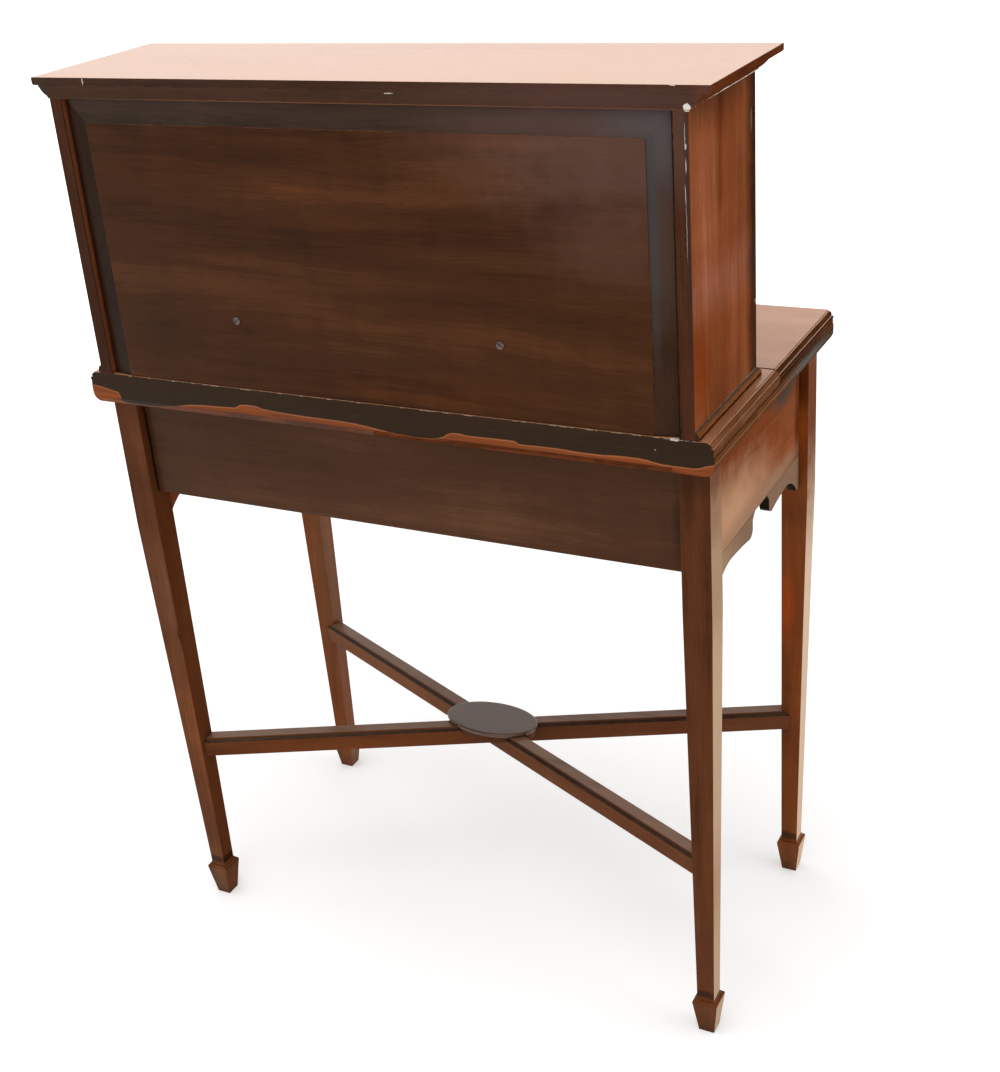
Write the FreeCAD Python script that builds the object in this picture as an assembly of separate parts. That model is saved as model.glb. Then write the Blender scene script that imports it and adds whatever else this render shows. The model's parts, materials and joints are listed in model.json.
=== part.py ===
"""Bonheur du jour: a small writing table with a fold-over leaf and a case on its top.

The desk faces -Y, +X is to the right of the person who sits at it, +Z is up.
The origin is on the floor, under the middle of the whole piece. Millimetres.
"Left" and "right" are those of the person who sits at the desk.
"""
import FreeCAD, Part
import math
import os

Vector = FreeCAD.Vector

# ---------------------------------------------------------------- driving dimensions
# Overall
total_height = 1095.0
writing_height = 763.0
overall_depth = 410.0

# Desk top
top_width = 756.0
rear_board_thick = 15.0
bed_thick = 15.0
lining_thick = 5.5
leaf_thick = 15.3
rear_board_depth = 205.4
nosing_radius = 10.5
joint_gap = 0.3
leaf_rear_gap = 0.5
lining_width = 43.3
rear_lining_width = 55.0
front_lining_width = 46.0

# Moulded ends of the two upper boards
step_in = 6.5
step_drop = 1.0
ovolo_width = 4.3
ovolo_drop = 5.2
groove_width = 1.0
bead_radius = 2.1
band_set_back = 0.7

# Leather writing surfaces
skiver_thick = 0.8
skiver_side_margin = 46.0
skiver_end_margin = 30.0

# Legs
leg_size = 32.0
leg_side_set_in = 11.5
leg_rear_set_in = 18.6
leg_front_set_in = 26.3
taper_drop = 45.0
ankle_size = 20.4
ankle_set_in = 9.75
foot_height = 47.0
foot_width = 29.8
foot_base = 18.6
foot_round = 4.2
foot_ledge = 3.1
ankle_bead = 2.6
ankle_bead_stand = 1.2

# Frame under the top
rail_set_in = 10.9
rail_thick = 20.0
rail_height = 123.2
blade_height = 18.0
blade_depth = 24.0
frieze_set_in = 1.5

# Ogee brackets under the rails
rear_bracket_length = 130.5
front_bracket_length = 111.0
bracket_drop = 43.0
bracket_thick = 11.5
bracket_foot = 7.0
arch_share = 0.42
arch_depth = 19.6
arch_rise = 5.2
lobe_in = 10.5
lobe_depth = 26.2
lobe_rise = 1.0
bracket_tip_depth = 18.6
tip_flare = 9.0
tip_flare_depth = 9.5
tip_flare_rise = 1.4
bracket_tip_rise = 2.2

# Crossed stretcher and its oval platform
stretcher_top = 248.2
stretcher_height = 25.0
stretcher_width = 22.0
stretcher_crown = 15.0
stretcher_cove = 3.2
stretcher_lip = 1.2
stretcher_quirk = 0.9
platform_length = 125.6
platform_width = 72.0
platform_end_radius = 23.0
platform_thick = 6.2
platform_block_height = 8.4
platform_block_in = 3.4
platform_nose = 2.2

# Lopers that carry the open leaf, and their guides
loper_width = 20.0
loper_height = 30.0
loper_rear_gap = 10.9
loper_travel = 190.0
loper_side_gap = 0.5
loper_rest_gap = 0.3
guide_wall = 7.5
bearer_thick = 18.0
stile_thick = 20.0
peg_radius = 3.6
peg_stand = 6.5
peg_depth = 9.0
peg_set_back = 34.0
slot_gap = 0.4
slot_depth = 8.0

# Frieze drawer
drawer_gap = 0.8
drawer_front_thick = 19.0
drawer_side_thick = 9.0
drawer_side_height = 82.0
drawer_rear_gap = 10.9
drawer_bottom_thick = 6.0
drawer_bottom_raise = 7.0
drawer_back_drop = 6.0
runner_width = 54.5
runner_guide_height = 22.0
run_gap = 0.3
cockbead_width = 2.6
cockbead_stand = 1.3

# Turned knobs: largest radius, and how far they stand out
drawer_knob_radius = 14.0
drawer_knob_length = 22.0
drawer_knob_spacing = 330.0
loper_knob_radius = 6.5
loper_knob_length = 12.0
small_knob_radius = 7.0
small_knob_length = 13.0

# A knob's turned shape: across as shares of its radius, along as shares of its length
rose_radius_share = 0.76
rose_end_share = 0.14
neck_radius_share = 0.46
head_foot_share = 0.46
head_top_share = 0.84
crown_radius_share = 0.68

# Case on the desk top
case_side_set_in = 18.8
case_front_set_back = 21.9
case_side_thick = 16.0
case_bottom_thick = 10.0
case_top_thick = 12.0
cornice_height = 22.0
back_panel_recess = 1.6
back_panel_thick = 11.5
back_bevel_width = 25.5
back_bevel_sink = 4.6
back_bevel_quirk = 1.0
back_screw_radius = 4.3
back_screw_stand = 0.8
back_screw_depth = 9.0
back_screw_slot = 1.1
back_screw_slot_depth = 0.9
back_screw_slot_turn = 35.0
foot_moulding_height = 10.0
foot_moulding_stand = 4.2
foot_moulding_fillet = 1.6
foot_moulding_top = 1.0
foot_moulding_edge = 0.6
foot_moulding_rise = 1.5

# Cornice
cornice_side_stand = 20.8
cornice_front_stand = 23.8
slab_thick = 8.2
slab_round = 2.6
bed_moulding_in = 8.0
bed_fillet = 1.8
bed_fillet_step = 0.7
bed_bead = 3.0
bed_bead_step = 0.9
bed_cove_sag = 0.8

# Inside the case
partition_spacing = 316.0
partition_thick = 10.0
shelf_thick = 8.0
low_shelf_height = 78.0
high_shelf_drop = 102.0
shelf_set_back = 2.0
pigeonhole_divider_thick = 6.0
cupboard_shelf_height = 155.0
cupboard_shelf_set_back = 26.0

# Cupboard doors
door_gap = 0.8
door_thick = 16.0
door_stile = 34.0
door_rail = 38.0
door_panel_thick = 8.0
door_panel_field_in = 16.0
door_panel_bevel_sink = 3.0
door_panel_set_back = 3.0
door_knob_rise = 154.0

# Centre drawer in the case
case_drawer_gap = 0.8
case_drawer_front_thick = 12.0
case_drawer_wall = 6.0
case_drawer_length = 150.0
case_drawer_bottom_thick = 4.0
case_drawer_knob_spacing = 150.0
case_drawer_side_drop = 1.6

# Hinges: leaf_ for the writing leaf, door_ for the cupboard doors
leaf_hinge_length = 50.0
leaf_hinge_plate = 22.0
leaf_hinge_set_in = 93.0
door_hinge_length = 38.0
door_hinge_plate = 13.0
door_hinge_end = 34.0
hinge_plate_thick = 1.6
knuckle_radius = 2.5
hinge_pin_radius = 1.2
hinge_pin_gap = 0.06
knuckle_gap = 0.3
plate_gap = 0.3
door_knuckle_stand = 2.3

# ---------------------------------------------------------------- derived places
rear_y = overall_depth / 2.0
rear_board_bottom = writing_height - rear_board_thick
bed_top = rear_board_bottom
bed_bottom = bed_top - bed_thick
frame_top = bed_bottom - lining_thick
leaf_bottom = bed_top + joint_gap
leaf_top = leaf_bottom + leaf_thick
leaf_axis_z = bed_top + joint_gap / 2.0
leaf_axis_y = -rear_y + knuckle_radius
bed_front = leaf_axis_y + joint_gap
rear_board_front = rear_y - rear_board_depth
leaf_rear = rear_board_front - leaf_rear_gap
loper_top = bed_top - leaf_thick - loper_rest_gap
loper_bottom = loper_top - loper_height
bearer_top = loper_bottom - run_gap
bearer_bottom = bearer_top - bearer_thick

half_top = top_width / 2.0
rail_bottom = frame_top - rail_height
taper_start = rail_bottom - taper_drop
leg_outer_x = half_top - leg_side_set_in
leg_inner_x = leg_outer_x - leg_size
leg_front_y = bed_front + leg_front_set_in
leg_rear_y = rear_y - leg_rear_set_in
leaf_hinge_x = half_top - leaf_hinge_set_in
rail_outer_x = leg_outer_x - rail_set_in
rail_inner_x = rail_outer_x - rail_thick
back_rail_rear = leg_rear_y - rail_set_in
back_rail_front = back_rail_rear - rail_thick
frieze_front = leg_front_y + frieze_set_in
blade_top = rail_bottom + blade_height
front_leg_back = leg_front_y + leg_size
rear_leg_front = leg_rear_y - leg_size

loper_outer_x = leg_inner_x - loper_side_gap
loper_inner_x = loper_outer_x - loper_width
guide_outer_x = loper_inner_x - loper_side_gap
guide_inner_x = guide_outer_x - guide_wall
loper_end = back_rail_front - loper_rear_gap
drawer_end = back_rail_front - drawer_rear_gap
side_lining_x = half_top - lining_width
front_lining_x = loper_inner_x - loper_side_gap

case_bottom_z = writing_height
case_floor = case_bottom_z + case_bottom_thick
case_top_z = total_height - cornice_height
case_ceiling = case_top_z - case_top_thick
case_front = rear_board_front + case_front_set_back
half_case = half_top - case_side_set_in
case_inner_x = half_case - case_side_thick
back_panel_rear = rear_y - back_panel_recess
back_panel_front = back_panel_rear - back_panel_thick
partition_inner_x = (partition_spacing - partition_thick) / 2.0
partition_outer_x = partition_inner_x + partition_thick
low_shelf_mid = case_bottom_z + low_shelf_height
high_shelf_mid = case_ceiling - high_shelf_drop
cupboard_shelf_mid = case_bottom_z + cupboard_shelf_height
slab_bottom = total_height - slab_thick
half_cornice = half_case + cornice_side_stand
cornice_front = case_front - cornice_front_stand

SIDES = (("left", -1.0), ("right", 1.0))


# ---------------------------------------------------------------- helpers
def box(x_pair, y_pair, z_pair):
    """A box from three pairs of limits, each in any order."""
    low = Vector(min(x_pair), min(y_pair), min(z_pair))
    high = Vector(max(x_pair), max(y_pair), max(z_pair))
    size = high - low
    return Part.makeBox(size.x, size.y, size.z, low)


def on_x(u, v):
    """A section point (u, v) on the plane across X: u is y, v is z."""
    return Vector(0.0, u, v)


def on_y(u, v):
    """A section point (u, v) on the plane across Y: u is x, v is z."""
    return Vector(u, 0.0, v)


def on_z(u, v):
    """A section point (u, v) on the plane across Z: u is x, v is y."""
    return Vector(u, v, 0.0)


def face(plane, start, steps):
    """A closed face. A step is an end point, or a pair (point on the arc, end point)."""
    edges = []
    here = start
    for step in steps + [start]:
        is_arc = isinstance(step[0], tuple)
        end = step[1] if is_arc else step
        if is_arc:
            edges.append(Part.Arc(plane(*here), plane(*step[0]), plane(*end)).toShape())
        elif math.dist(here, end) > 1e-6:
            edges.append(Part.LineSegment(plane(*here), plane(*end)).toShape())
        here = end
    return Part.Face(Part.Wire(edges))


def run(section, start, end, direction):
    """Extrude a section along a unit direction, between two places on it."""
    moved = section.copy()
    moved.translate(direction * start)
    return moved.extrude(direction * (end - start))


def quarter(centre, radius_u, radius_v, angle):
    """A point on an ellipse quarter, for the middle of a moulding's arc."""
    turn = math.radians(angle)
    return (centre[0] + radius_u * math.cos(turn), centre[1] + radius_v * math.sin(turn))


def bowed(start, end, rise):
    """The middle point of an arc that stands off its chord, to the left of its direction."""
    span = math.dist(start, end)
    across = (-(end[1] - start[1]) / span, (end[0] - start[0]) / span)
    return ((start[0] + end[0]) / 2.0 + across[0] * rise, (start[1] + end[1]) / 2.0 + across[1] * rise)


def placed(steps, edge, direction):
    """Steps drawn as (distance, height), laid out from an edge along one direction."""
    def at(point):
        return (edge + direction * point[0], point[1])

    return [tuple(map(at, step)) if isinstance(step[0], tuple) else at(step) for step in steps]


def mirrored(shape):
    """The same shape on the other side of the middle plane."""
    return shape.mirror(Vector(0, 0, 0), Vector(1, 0, 0))


def on_side(shape, sign):
    """A shape made for the right, put on the side that sign names."""
    return shape if sign > 0 else mirrored(shape)


def both_sides(shape):
    """A pair of separate solids, one on each side."""
    return Part.makeCompound([shape, mirrored(shape)])


def whole(half):
    """One solid from its right half."""
    return half.fuse(mirrored(half)).removeSplitter()


# ---------------------------------------------------------------- legs
def leg_section(plane, outer, inward):
    """One face view of a leg: square head, taper, ankle bead and spade foot."""
    ankle_in = (ankle_set_in, ankle_set_in + ankle_size)
    middle = ankle_set_in + ankle_size / 2.0
    shoulder = foot_height - foot_round
    bead_mid = foot_height + ankle_bead / 2.0
    bead_top = foot_height + ankle_bead
    half_foot = foot_width / 2.0
    half_base = foot_base / 2.0
    outer_round = quarter((middle - half_foot + foot_ledge, shoulder), -foot_ledge, foot_round, 45.0)
    inner_round = quarter((middle + half_foot - foot_ledge, shoulder), foot_ledge, foot_round, 45.0)
    steps = placed([
        (0.0, frame_top),
        (0.0, taper_start),
        (ankle_in[0], bead_top),
        ((ankle_in[0] - ankle_bead_stand, bead_mid), (ankle_in[0], foot_height)),
        (middle - half_foot + foot_ledge, foot_height),
        (outer_round, (middle - half_foot, shoulder)),
        (middle - half_base, 0.0),
        (middle + half_base, 0.0),
        (middle + half_foot, shoulder),
        (inner_round, (middle + half_foot - foot_ledge, foot_height)),
        (ankle_in[1], foot_height),
        ((ankle_in[1] + ankle_bead_stand, bead_mid), (ankle_in[1], bead_top)),
        (leg_size, taper_start),
        (leg_size, frame_top),
    ], outer, inward)
    return face(plane, steps[0], steps[1:])


def leg(outer_y, inward_y):
    """A right leg: the front view and the side view cut from one length of wood."""
    front_view = run(leg_section(on_y, leg_outer_x, -1.0), -rear_y, rear_y, Vector(0, 1, 0))
    side_view = run(leg_section(on_x, outer_y, inward_y), 0.0, half_top, Vector(1, 0, 0))
    return front_view.common(side_view)


def make_legs():
    parts = {}
    for place, outer_y, inward_y in (("front", leg_front_y, 1.0), ("rear", leg_rear_y, -1.0)):
        right = leg(outer_y, inward_y)
        for side, sign in SIDES:
            parts["leg_%s_%s" % (place, side)] = on_side(right, sign)
    return parts


# ---------------------------------------------------------------- rails and brackets
def bracket_section(plane, length, root, outward):
    """An ogee bracket: a concave arch by the leg, a lobe, and a tip that flares into the rail."""
    top = rail_bottom
    tip = (length, top - bracket_tip_depth)
    lobe = (length - lobe_in, top - lobe_depth)
    arch = (length * arch_share, top - arch_depth)
    foot = (bracket_foot, top - bracket_drop)
    flare = (length + tip_flare, top)
    flare_end = (length, top - tip_flare_depth)
    steps = placed([
        (0.0, top),
        flare,
        (bowed(flare, flare_end, -tip_flare_rise), flare_end),
        tip,
        (bowed(tip, lobe, bracket_tip_rise), lobe),
        (bowed(lobe, arch, -lobe_rise), arch),
        (bowed(arch, foot, -arch_rise), foot),
        (0.0, top - bracket_drop),
    ], root, outward)
    return face(plane, steps[0], steps[1:])


def make_rails():
    parts = {}
    parts["back_rail"] = box((-leg_inner_x, leg_inner_x), (back_rail_front, back_rail_rear),
                             (rail_bottom, frame_top))
    parts["drawer_blade"] = box((-leg_inner_x, leg_inner_x), (frieze_front, frieze_front + blade_depth),
                                (rail_bottom, blade_top))
    side_rail = box((rail_inner_x, rail_outer_x), (front_leg_back, rear_leg_front),
                    (rail_bottom, frame_top))
    brackets = [
        run(bracket_section(on_x, front_bracket_length, front_leg_back, 1.0),
            rail_outer_x - bracket_thick, rail_outer_x, Vector(1, 0, 0)),
        run(bracket_section(on_x, rear_bracket_length, rear_leg_front, -1.0),
            rail_outer_x - bracket_thick, rail_outer_x, Vector(1, 0, 0)),
        run(bracket_section(on_y, front_bracket_length, leg_inner_x, -1.0),
            frieze_front, frieze_front + bracket_thick, Vector(0, 1, 0)),
    ]
    for side, sign in SIDES:
        parts["side_rail_" + side] = on_side(side_rail, sign)
        parts["ogee_brackets_" + side] = Part.makeCompound([on_side(piece, sign) for piece in brackets])
    return parts


# ---------------------------------------------------------------- stretcher
def stretcher_section():
    """Half-moulded section across a stretcher arm: flat face, lip, cove, narrow crown."""
    half = stretcher_width / 2.0
    crown = stretcher_crown / 2.0
    bottom = stretcher_top - stretcher_height
    lip_z = stretcher_top - stretcher_quirk - stretcher_cove
    cove_mid = quarter((crown + stretcher_cove, lip_z + stretcher_cove), -stretcher_cove, -stretcher_cove,
                       45.0)

    right = [
        (half, lip_z - stretcher_lip),
        (half - stretcher_lip, lip_z),
        (crown + stretcher_cove, lip_z),
        (cove_mid, (crown, lip_z + stretcher_cove)),
        (crown, stretcher_top),
        (-crown, stretcher_top),
        (-crown, lip_z + stretcher_cove),
        ((-cove_mid[0], cove_mid[1]), (-crown - stretcher_cove, lip_z)),
        (-half + stretcher_lip, lip_z),
        (-half, lip_z - stretcher_lip),
        (-half, bottom),
    ]
    return face(on_y, (half, bottom), right)


def oval(inset):
    """The platform's outline, drawn in by a distance, as a face on the plane z = 0.

    Two small arcs for the ends and two large ones for the sides run into each other.
    """
    half_length = platform_length / 2.0
    half_width = platform_width / 2.0
    end_x = half_length - platform_end_radius
    side_radius = ((half_length * (half_length - 2.0 * platform_end_radius) + half_width ** 2)
                   / (2.0 * (half_width - platform_end_radius)))
    side_y = side_radius - half_width
    turn = math.atan2(side_y, end_x)
    end_radius = platform_end_radius - inset
    meet_x = end_x + end_radius * math.cos(turn)
    meet_y = end_radius * math.sin(turn)
    long = half_length - inset
    wide = half_width - inset
    outline = face(on_z, (meet_x, -meet_y), [
        ((long, 0.0), (meet_x, meet_y)),
        ((0.0, wide), (-meet_x, meet_y)),
        ((-long, 0.0), (-meet_x, -meet_y)),
        ((0.0, -wide), (meet_x, -meet_y)),
    ])
    outline.translate(Vector(0, stretcher_mid_y(), 0))
    return outline


def stretcher_mid_y():
    """The crossing lies midway between the front and rear legs."""
    return (leg_front_y + leg_rear_y) / 2.0


def ankle_centre(outer, inward, height):
    """Where a leg's middle is at a height on its taper, seen along one axis."""
    share = (taper_start - height) / (taper_start - foot_height)
    head = leg_size / 2.0
    ankle = ankle_set_in + ankle_size / 2.0
    return outer + inward * (head + (ankle - head) * share)


def level_edges(shape, height):
    """The edges of a shape that lie level at a height."""
    return [edge for edge in shape.Edges
            if edge.BoundBox.ZLength < 1e-6 and abs(edge.BoundBox.ZMax - height) < 1e-6]


def make_stretcher(legs):
    parts = {}
    mid_y = stretcher_mid_y()
    block = run(oval(platform_block_in), stretcher_top - platform_block_height, stretcher_top,
                Vector(0, 0, 1))
    height = stretcher_top - stretcher_height / 2.0
    leg_x = ankle_centre(leg_outer_x, -1.0, height)
    for place, outer_y, inward_y in (("front", leg_front_y, 1.0), ("rear", leg_rear_y, -1.0)):
        leg_y = ankle_centre(outer_y, inward_y, height)
        reach = math.hypot(leg_x, leg_y - mid_y)
        turn = math.degrees(math.atan2(leg_y - mid_y, leg_x)) - 90.0
        arm = run(stretcher_section(), 0.0, reach, Vector(0, 1, 0))
        arm.rotate(Vector(0, 0, 0), Vector(0, 0, 1), turn)
        arm.translate(Vector(0, mid_y, 0))
        quarter = box((0.0, leg_outer_x), (mid_y, outer_y), (0.0, stretcher_top))
        arm = arm.common(quarter).cut(legs["leg_%s_right" % place]).cut(block)
        arm = max(arm.Solids, key=lambda solid: solid.Volume)
        for side, sign in SIDES:
            parts["stretcher_%s_%s" % (place, side)] = on_side(arm, sign)
    parts["platform_block"] = block
    disc = run(oval(0.0), stretcher_top, stretcher_top + platform_thick, Vector(0, 0, 1))
    parts["platform_top"] = disc.makeChamfer(platform_nose, level_edges(disc, stretcher_top))
    return parts


# ---------------------------------------------------------------- desk top
def moulded_end(bottom, top):
    """Half a board across its moulded ends: a band, a bead, a groove, an ovolo and a step."""
    shoulder = top - step_drop
    ovolo_top_x = half_top - step_in
    ovolo_low_x = ovolo_top_x + ovolo_width
    ovolo_low_z = shoulder - ovolo_drop
    bead_top_z = ovolo_low_z
    bead_x = half_top - bead_radius
    bead_low_z = bead_top_z - 2.0 * bead_radius
    band_x = half_top - band_set_back
    ovolo_mid = quarter((ovolo_top_x, ovolo_low_z), ovolo_width, ovolo_drop, 45.0)
    steps = [
        (band_x, bottom),
        (band_x, bead_low_z),
        (bead_x, bead_low_z),
        ((half_top, bead_low_z + bead_radius), (bead_x, bead_top_z)),
        (ovolo_low_x - groove_width, ovolo_low_z),
        (ovolo_low_x - groove_width, ovolo_low_z + groove_width),
        (ovolo_low_x, ovolo_low_z + groove_width),
        (ovolo_mid, (ovolo_top_x, shoulder)),
        (ovolo_top_x, top),
        (0.0, top),
    ]
    return face(on_y, (0.0, bottom), steps)


def nosed_slab():
    """The bed and its linings as one block, rounded under at the sides and the front."""
    low = frame_top
    side = half_top - nosing_radius
    side_mid = quarter((side, low + nosing_radius), nosing_radius, nosing_radius, -45.0)
    across = face(on_y, (0.0, low), [
        (side, low),
        (side_mid, (half_top, low + nosing_radius)),
        (half_top, bed_top),
        (0.0, bed_top),
    ])
    front = bed_front + nosing_radius
    front_mid = quarter((front, low + nosing_radius), -nosing_radius, nosing_radius, -45.0)
    along = face(on_x, (rear_y, low), [
        (front, low),
        (front_mid, (bed_front, low + nosing_radius)),
        (bed_front, bed_top),
        (rear_y, bed_top),
    ])
    right = run(across, bed_front, rear_y, Vector(0, 1, 0))
    return whole(right).common(run(along, -half_top, half_top, Vector(1, 0, 0)))


def skiver_limits():
    """The leather's limits in x and y, the same on the bed and on the leaf."""
    reach = half_top - skiver_end_margin
    return (-reach, reach), (bed_front + skiver_side_margin, leaf_rear - skiver_side_margin)


def make_desk_top():
    parts = {}
    slab = nosed_slab()
    x_pair, y_pair = skiver_limits()
    bed = slab.common(box((-half_top, half_top), (bed_front, rear_y), (bed_bottom, bed_top)))
    parts["bed_skiver"] = box(x_pair, y_pair, (bed_top - skiver_thick, bed_top))
    bed = bed.cut(parts["bed_skiver"])
    lining_z = (frame_top, bed_bottom)
    linings = [
        box((side_lining_x, half_top), (bed_front, rear_y), lining_z),
        box((-half_top, -side_lining_x), (bed_front, rear_y), lining_z),
        box((-side_lining_x, side_lining_x), (rear_y - rear_lining_width, rear_y), lining_z),
        box((-front_lining_x, front_lining_x), (bed_front, bed_front + front_lining_width), lining_z),
    ]
    parts["top_linings"] = Part.makeCompound([slab.common(strip).Solids[0] for strip in linings])
    rear_board = run(moulded_end(rear_board_bottom, writing_height), rear_board_front, rear_y,
                     Vector(0, 1, 0))
    parts["rear_top_board"] = whole(rear_board)
    leaf = whole(run(moulded_end(leaf_bottom, leaf_top), bed_front, leaf_rear, Vector(0, 1, 0)))
    parts["leaf_skiver"] = box(x_pair, y_pair, (leaf_bottom, leaf_bottom + skiver_thick))
    leaf = leaf.cut(parts["leaf_skiver"])
    fixed, moving = leaf_hinges()
    barrel = hinge_room(leaf_hinge_length)
    for centre_x in (-leaf_hinge_x, leaf_hinge_x):
        room = barrel.copy()
        room.translate(Vector(centre_x, leaf_axis_y, leaf_axis_z))
        bed = bed.cut(room)
        leaf = leaf.cut(room)
    parts["top_bed"] = bed.cut(fixed)
    parts["writing_leaf"] = leaf.cut(moving)
    parts["fixed_hinge_plates"] = fixed
    parts["leaf_hinge_plates"] = moving
    return parts


# ---------------------------------------------------------------- hinges
def hinge_room(length):
    """The space that a hinge's barrel turns in. The axis is X through the origin."""
    radius = knuckle_radius + knuckle_gap
    return Part.makeCylinder(radius, length + 2 * knuckle_gap,
                             Vector(-length / 2.0 - knuckle_gap, 0, 0), Vector(1, 0, 0))


def hinge_half(length, plate, fixed):
    """Half a butt hinge about the X axis. The plate runs towards +Y, on the +Z side if it moves.

    The fixed half has one knuckle and the pin, the moving half the other knuckle, which turns on it.
    """
    side = -1.0 if fixed else 1.0
    near = side * plate_gap / 2.0
    body = box((-length / 2.0, length / 2.0), (0.0, plate), (near, near + side * hinge_plate_thick))
    middle = length / 2.0
    along = Vector(1, 0, 0)
    clear = knuckle_radius + knuckle_gap
    if fixed:
        room = Part.makeCylinder(clear, middle + knuckle_gap, Vector(-knuckle_gap, 0, 0), along)
        knuckle = Part.makeCylinder(knuckle_radius, middle - knuckle_gap, Vector(-middle, 0, 0), along)
        pin = Part.makeCylinder(hinge_pin_radius, length, Vector(-middle, 0, 0), along)
        return body.cut(room).fuse([knuckle, pin]).removeSplitter()
    room = Part.makeCylinder(clear, middle + knuckle_gap, Vector(-middle, 0, 0), along)
    knuckle = Part.makeCylinder(knuckle_radius, middle - knuckle_gap, Vector(knuckle_gap, 0, 0), along)
    bore = Part.makeCylinder(hinge_pin_radius + hinge_pin_gap, length, Vector(-middle, 0, 0), along)
    return body.cut(room).fuse(knuckle).cut(bore).removeSplitter()


def leaf_hinges():
    """The two hinges of the writing leaf, as the fixed pair and the moving pair."""
    pairs = []
    for fixed in (True, False):
        solids = []
        for centre_x in (-leaf_hinge_x, leaf_hinge_x):
            half = hinge_half(leaf_hinge_length, leaf_hinge_plate, fixed)
            half.translate(Vector(centre_x, leaf_axis_y, leaf_axis_z))
            solids.append(half)
        pairs.append(Part.makeCompound(solids))
    return pairs


def door_axis():
    """Where the right door's hinge axis stands."""
    return Vector(case_inner_x - door_gap / 2.0, case_front - door_knuckle_stand, 0.0)


def upright(shape, height):
    """Turn a hinge from the X axis to the right door's upright axis, at a height."""
    turned = shape.copy()
    turned.rotate(Vector(0, 0, 0), Vector(0, 1, 0), -90.0)
    place = door_axis()
    turned.translate(Vector(place.x, place.y, height))
    return turned


def door_hinge_heights():
    """Mid heights of a door's two hinges."""
    inset = door_hinge_end + door_hinge_length / 2.0
    return (case_floor + inset, case_ceiling - inset)


# ---------------------------------------------------------------- lopers
def make_lopers():
    parts = {}
    peg_y = frieze_front + peg_set_back
    slot_half = peg_radius + slot_gap
    bar = box((loper_inner_x, loper_outer_x), (frieze_front, loper_end),
              (loper_bottom, loper_top))
    mid_x = (loper_inner_x + loper_outer_x) / 2.0
    slot = box((mid_x - slot_half, mid_x + slot_half), (peg_y, peg_y + loper_travel),
               (loper_bottom, loper_bottom + slot_depth))
    for end_y in (peg_y, peg_y + loper_travel):
        slot = slot.fuse(Part.makeCylinder(slot_half, slot_depth, Vector(mid_x, end_y, loper_bottom)))
    bar = bar.cut(slot)
    guide = face(on_y, (guide_inner_x, bearer_bottom), [
        (leg_inner_x, bearer_bottom),
        (leg_inner_x, bearer_top),
        (guide_outer_x, bearer_top),
        (guide_outer_x, frame_top),
        (guide_inner_x, frame_top),
    ])
    guide = run(guide, frieze_front, back_rail_front, Vector(0, 1, 0))
    peg = Part.makeCylinder(peg_radius, peg_depth + run_gap + peg_stand,
                            Vector(mid_x, peg_y, bearer_top - peg_depth))
    guide = guide.fuse(peg).removeSplitter()
    stile = box((guide_inner_x, leg_inner_x), (frieze_front, frieze_front + stile_thick),
                (blade_top, bearer_bottom))
    knob = turned_knob(loper_knob_radius, loper_knob_length, mid_x, frieze_front,
                       (loper_bottom + loper_top) / 2.0)
    for side, sign in SIDES:
        parts["loper_" + side] = on_side(bar, sign)
        parts["loper_guide_" + side] = on_side(guide, sign)
        parts["loper_knob_" + side] = on_side(knob, sign)
    parts["frieze_stiles"] = both_sides(stile)
    return parts


def turned_knob(radius, length, x, y, z):
    """A turned knob that stands out of a front at y, towards -Y: a head on a neck.

    A large knob has a rose at its foot and a stepped crown on its head too.
    """
    neck = radius * neck_radius_share
    head_foot = length * head_foot_share
    if radius > small_knob_radius:
        rose = radius * rose_radius_share
        rose_end = length * rose_end_share
        crown = radius * crown_radius_share
        head_top = length * head_top_share
        foot = [(rose, 0.0), (rose, rose_end), (neck, rose_end)]
        top = [(radius, head_top), (crown, head_top), (crown, length)]
    else:
        foot = [(neck, 0.0)]
        top = [(radius, length)]
    steps = foot + [(neck, head_foot), (radius, head_foot)] + top + [(0.0, length)]
    knob = face(on_z, (0.0, 0.0), steps).revolve(Vector(0, 0, 0), Vector(0, 1, 0), 360.0)
    knob.rotate(Vector(0, 0, 0), Vector(0, 0, 1), 180.0)
    knob.translate(Vector(x, y, z))
    return knob


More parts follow.
